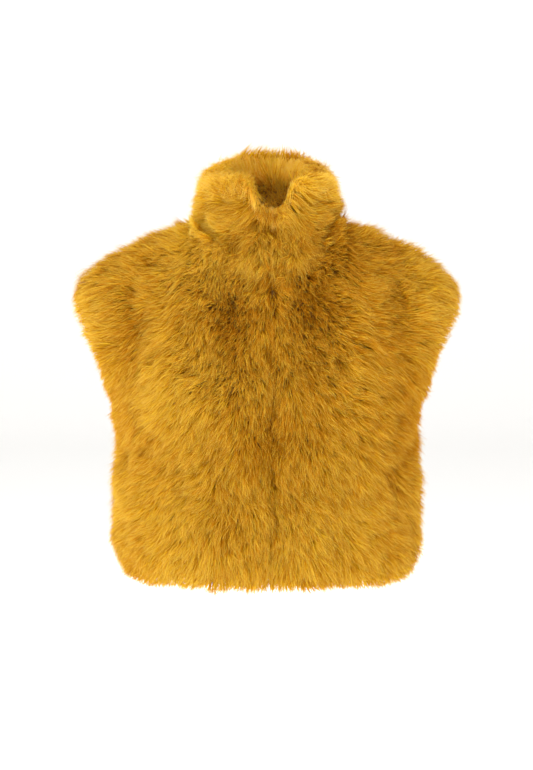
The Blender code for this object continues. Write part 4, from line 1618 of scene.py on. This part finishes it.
@dataclass(frozen=True)
class SoftLight:
    """A large studio soft box that looks at the vest."""

    name: str
    place: tuple[float, float, float]
    size: float
    watts: float
    target: tuple[float, float, float] = (0.0, 0.0, -0.2)

    def build(self) -> None:
        """Adds the light."""
        lamp = bpy.data.lights.new(self.name, "AREA")
        lamp.shape, lamp.size, lamp.energy = "SQUARE", self.size, self.watts
        light = bpy.data.objects.new(self.name, lamp)
        bpy.context.scene.collection.objects.link(light)
        light.location = self.place
        way = np.subtract(self.target, self.place)
        light.rotation_euler = Vector(way).to_track_quat("-Z", "Y").to_euler()


@dataclass(frozen=True)
class Studio:
    """White paper that sweeps up behind the vest, soft light from all round and the camera.

    Attributes:
        lights: the soft boxes.
        air_colour: the colour of the light from all round, and air_strength its strength.
        paper_colour: the paper's colour.
        floor_z: the paper's height under the vest.
        floor_front_y: where it ends in front.
        wall_y: how far behind the vest its wall stands.
        wall_height: how high that is.
        half_width: half the paper's width.
        bend: the radius of the bend between floor and wall, and bend_steps its faces.
        distance: from the camera to the vest.
        elevation_deg: how far the camera looks down.
        view_height: what the picture shows at that distance, in metres.
        aim: the point that it looks at.
        sensor_mm: the width of its sensor.
    """

    lights: tuple[SoftLight, ...] = (
        SoftLight("left_soft_box", (-2.5, -0.4, 0.5), 2.0, 69.0),
        SoftLight("right_soft_box", (2.5, -0.3, 0.3), 2.0, 45.0),
        SoftLight("front_soft_box", (-0.3, -3.5, 0.85), 1.4, 38.0),
        SoftLight("low_soft_box", (-0.3, -1.6, -0.88), 1.4, 19.0, (0.0, 0.0, -0.45)),
        SoftLight("top_soft_box", (0.0, -0.5, 2.5), 2.0, 37.0),
        SoftLight("back_soft_box", (0.0, 2.4, 0.4), 2.2, 30.0),
    )
    air_colour: str = "FFFFFF"
    air_strength: float = 0.85
    paper_colour: str = "F7F6F4"
    floor_z: float = -0.95
    floor_front_y: float = -6.0
    wall_y: float = 5.5
    wall_height: float = 6.0
    half_width: float = 7.0
    bend: float = 1.2
    bend_steps: int = 12
    distance: float = 3.6
    elevation_deg: float = 7.0
    view_height: float = 1.155
    aim: tuple[float, float, float] = (-0.00075, -0.0027, -0.2173)
    sensor_mm: float = 36.0

    def build(self) -> None:
        """Adds the paper, the lights and the camera."""
        self._paper()
        for light in self.lights:
            light.build()
        world = bpy.data.worlds.new("studio_air")
        world.use_nodes = True
        air = world.node_tree.nodes["Background"]
        set_inputs(air, {"Color": linear(self.air_colour), "Strength": self.air_strength})
        bpy.context.scene.world = world
        bpy.context.scene.view_settings.view_transform = "Standard"
        self._camera()

    def _paper(self) -> None:
        """One sheet of paper, flat in front and bent up into a wall behind."""
        bend_y = self.wall_y - self.bend
        profile = [(self.floor_front_y, self.floor_z), (bend_y, self.floor_z)]
        for k in range(1, self.bend_steps + 1):
            angle = math.radians(90 * k / self.bend_steps)
            y, z = self.bend * math.sin(angle), self.bend * (1 - math.cos(angle))
            profile.append((bend_y + y, self.floor_z + z))
        profile.append((self.wall_y, self.floor_z + self.wall_height))
        bpy.ops.object.select_all(action="DESELECT")
        bpy.ops.mesh.primitive_grid_add(x_subdivisions=1, y_subdivisions=len(profile) - 1, size=1.0)
        paper = bpy.context.object
        paper.name = "studio_floor"
        corners = [(x, y, z) for y, z in profile for x in (-self.half_width, self.half_width)]
        paper.data.vertices.foreach_set("co", np.array(corners, np.float32).reshape(-1))
        paper.data.materials.append(MattFinish("white_studio_paper", self.paper_colour).material())
        bpy.ops.object.shade_smooth()

    def _camera(self) -> None:
        """The camera, level with the chest and looking slightly down, as in the photograph."""
        lens = bpy.data.cameras.new("camera")
        lens.sensor_width = self.sensor_mm
        lens.lens = self.sensor_mm * self.distance / self.view_height
        camera = bpy.data.objects.new("camera", lens)
        bpy.context.scene.collection.objects.link(camera)
        down = math.radians(self.elevation_deg)
        look = Vector((0.0, math.cos(down), -math.sin(down)))
        camera.location = Vector(self.aim) - look * self.distance
        camera.rotation_euler = look.to_track_quat("-Z", "Y").to_euler()
        bpy.context.scene.camera = camera


def main() -> None:
    """Builds the vest and the studio, in that order."""
    logging.basicConfig(level=logging.INFO, format="%(message)s")
    FurVest().build()
    Studio().build()


if __name__ == "__main__":
    main()
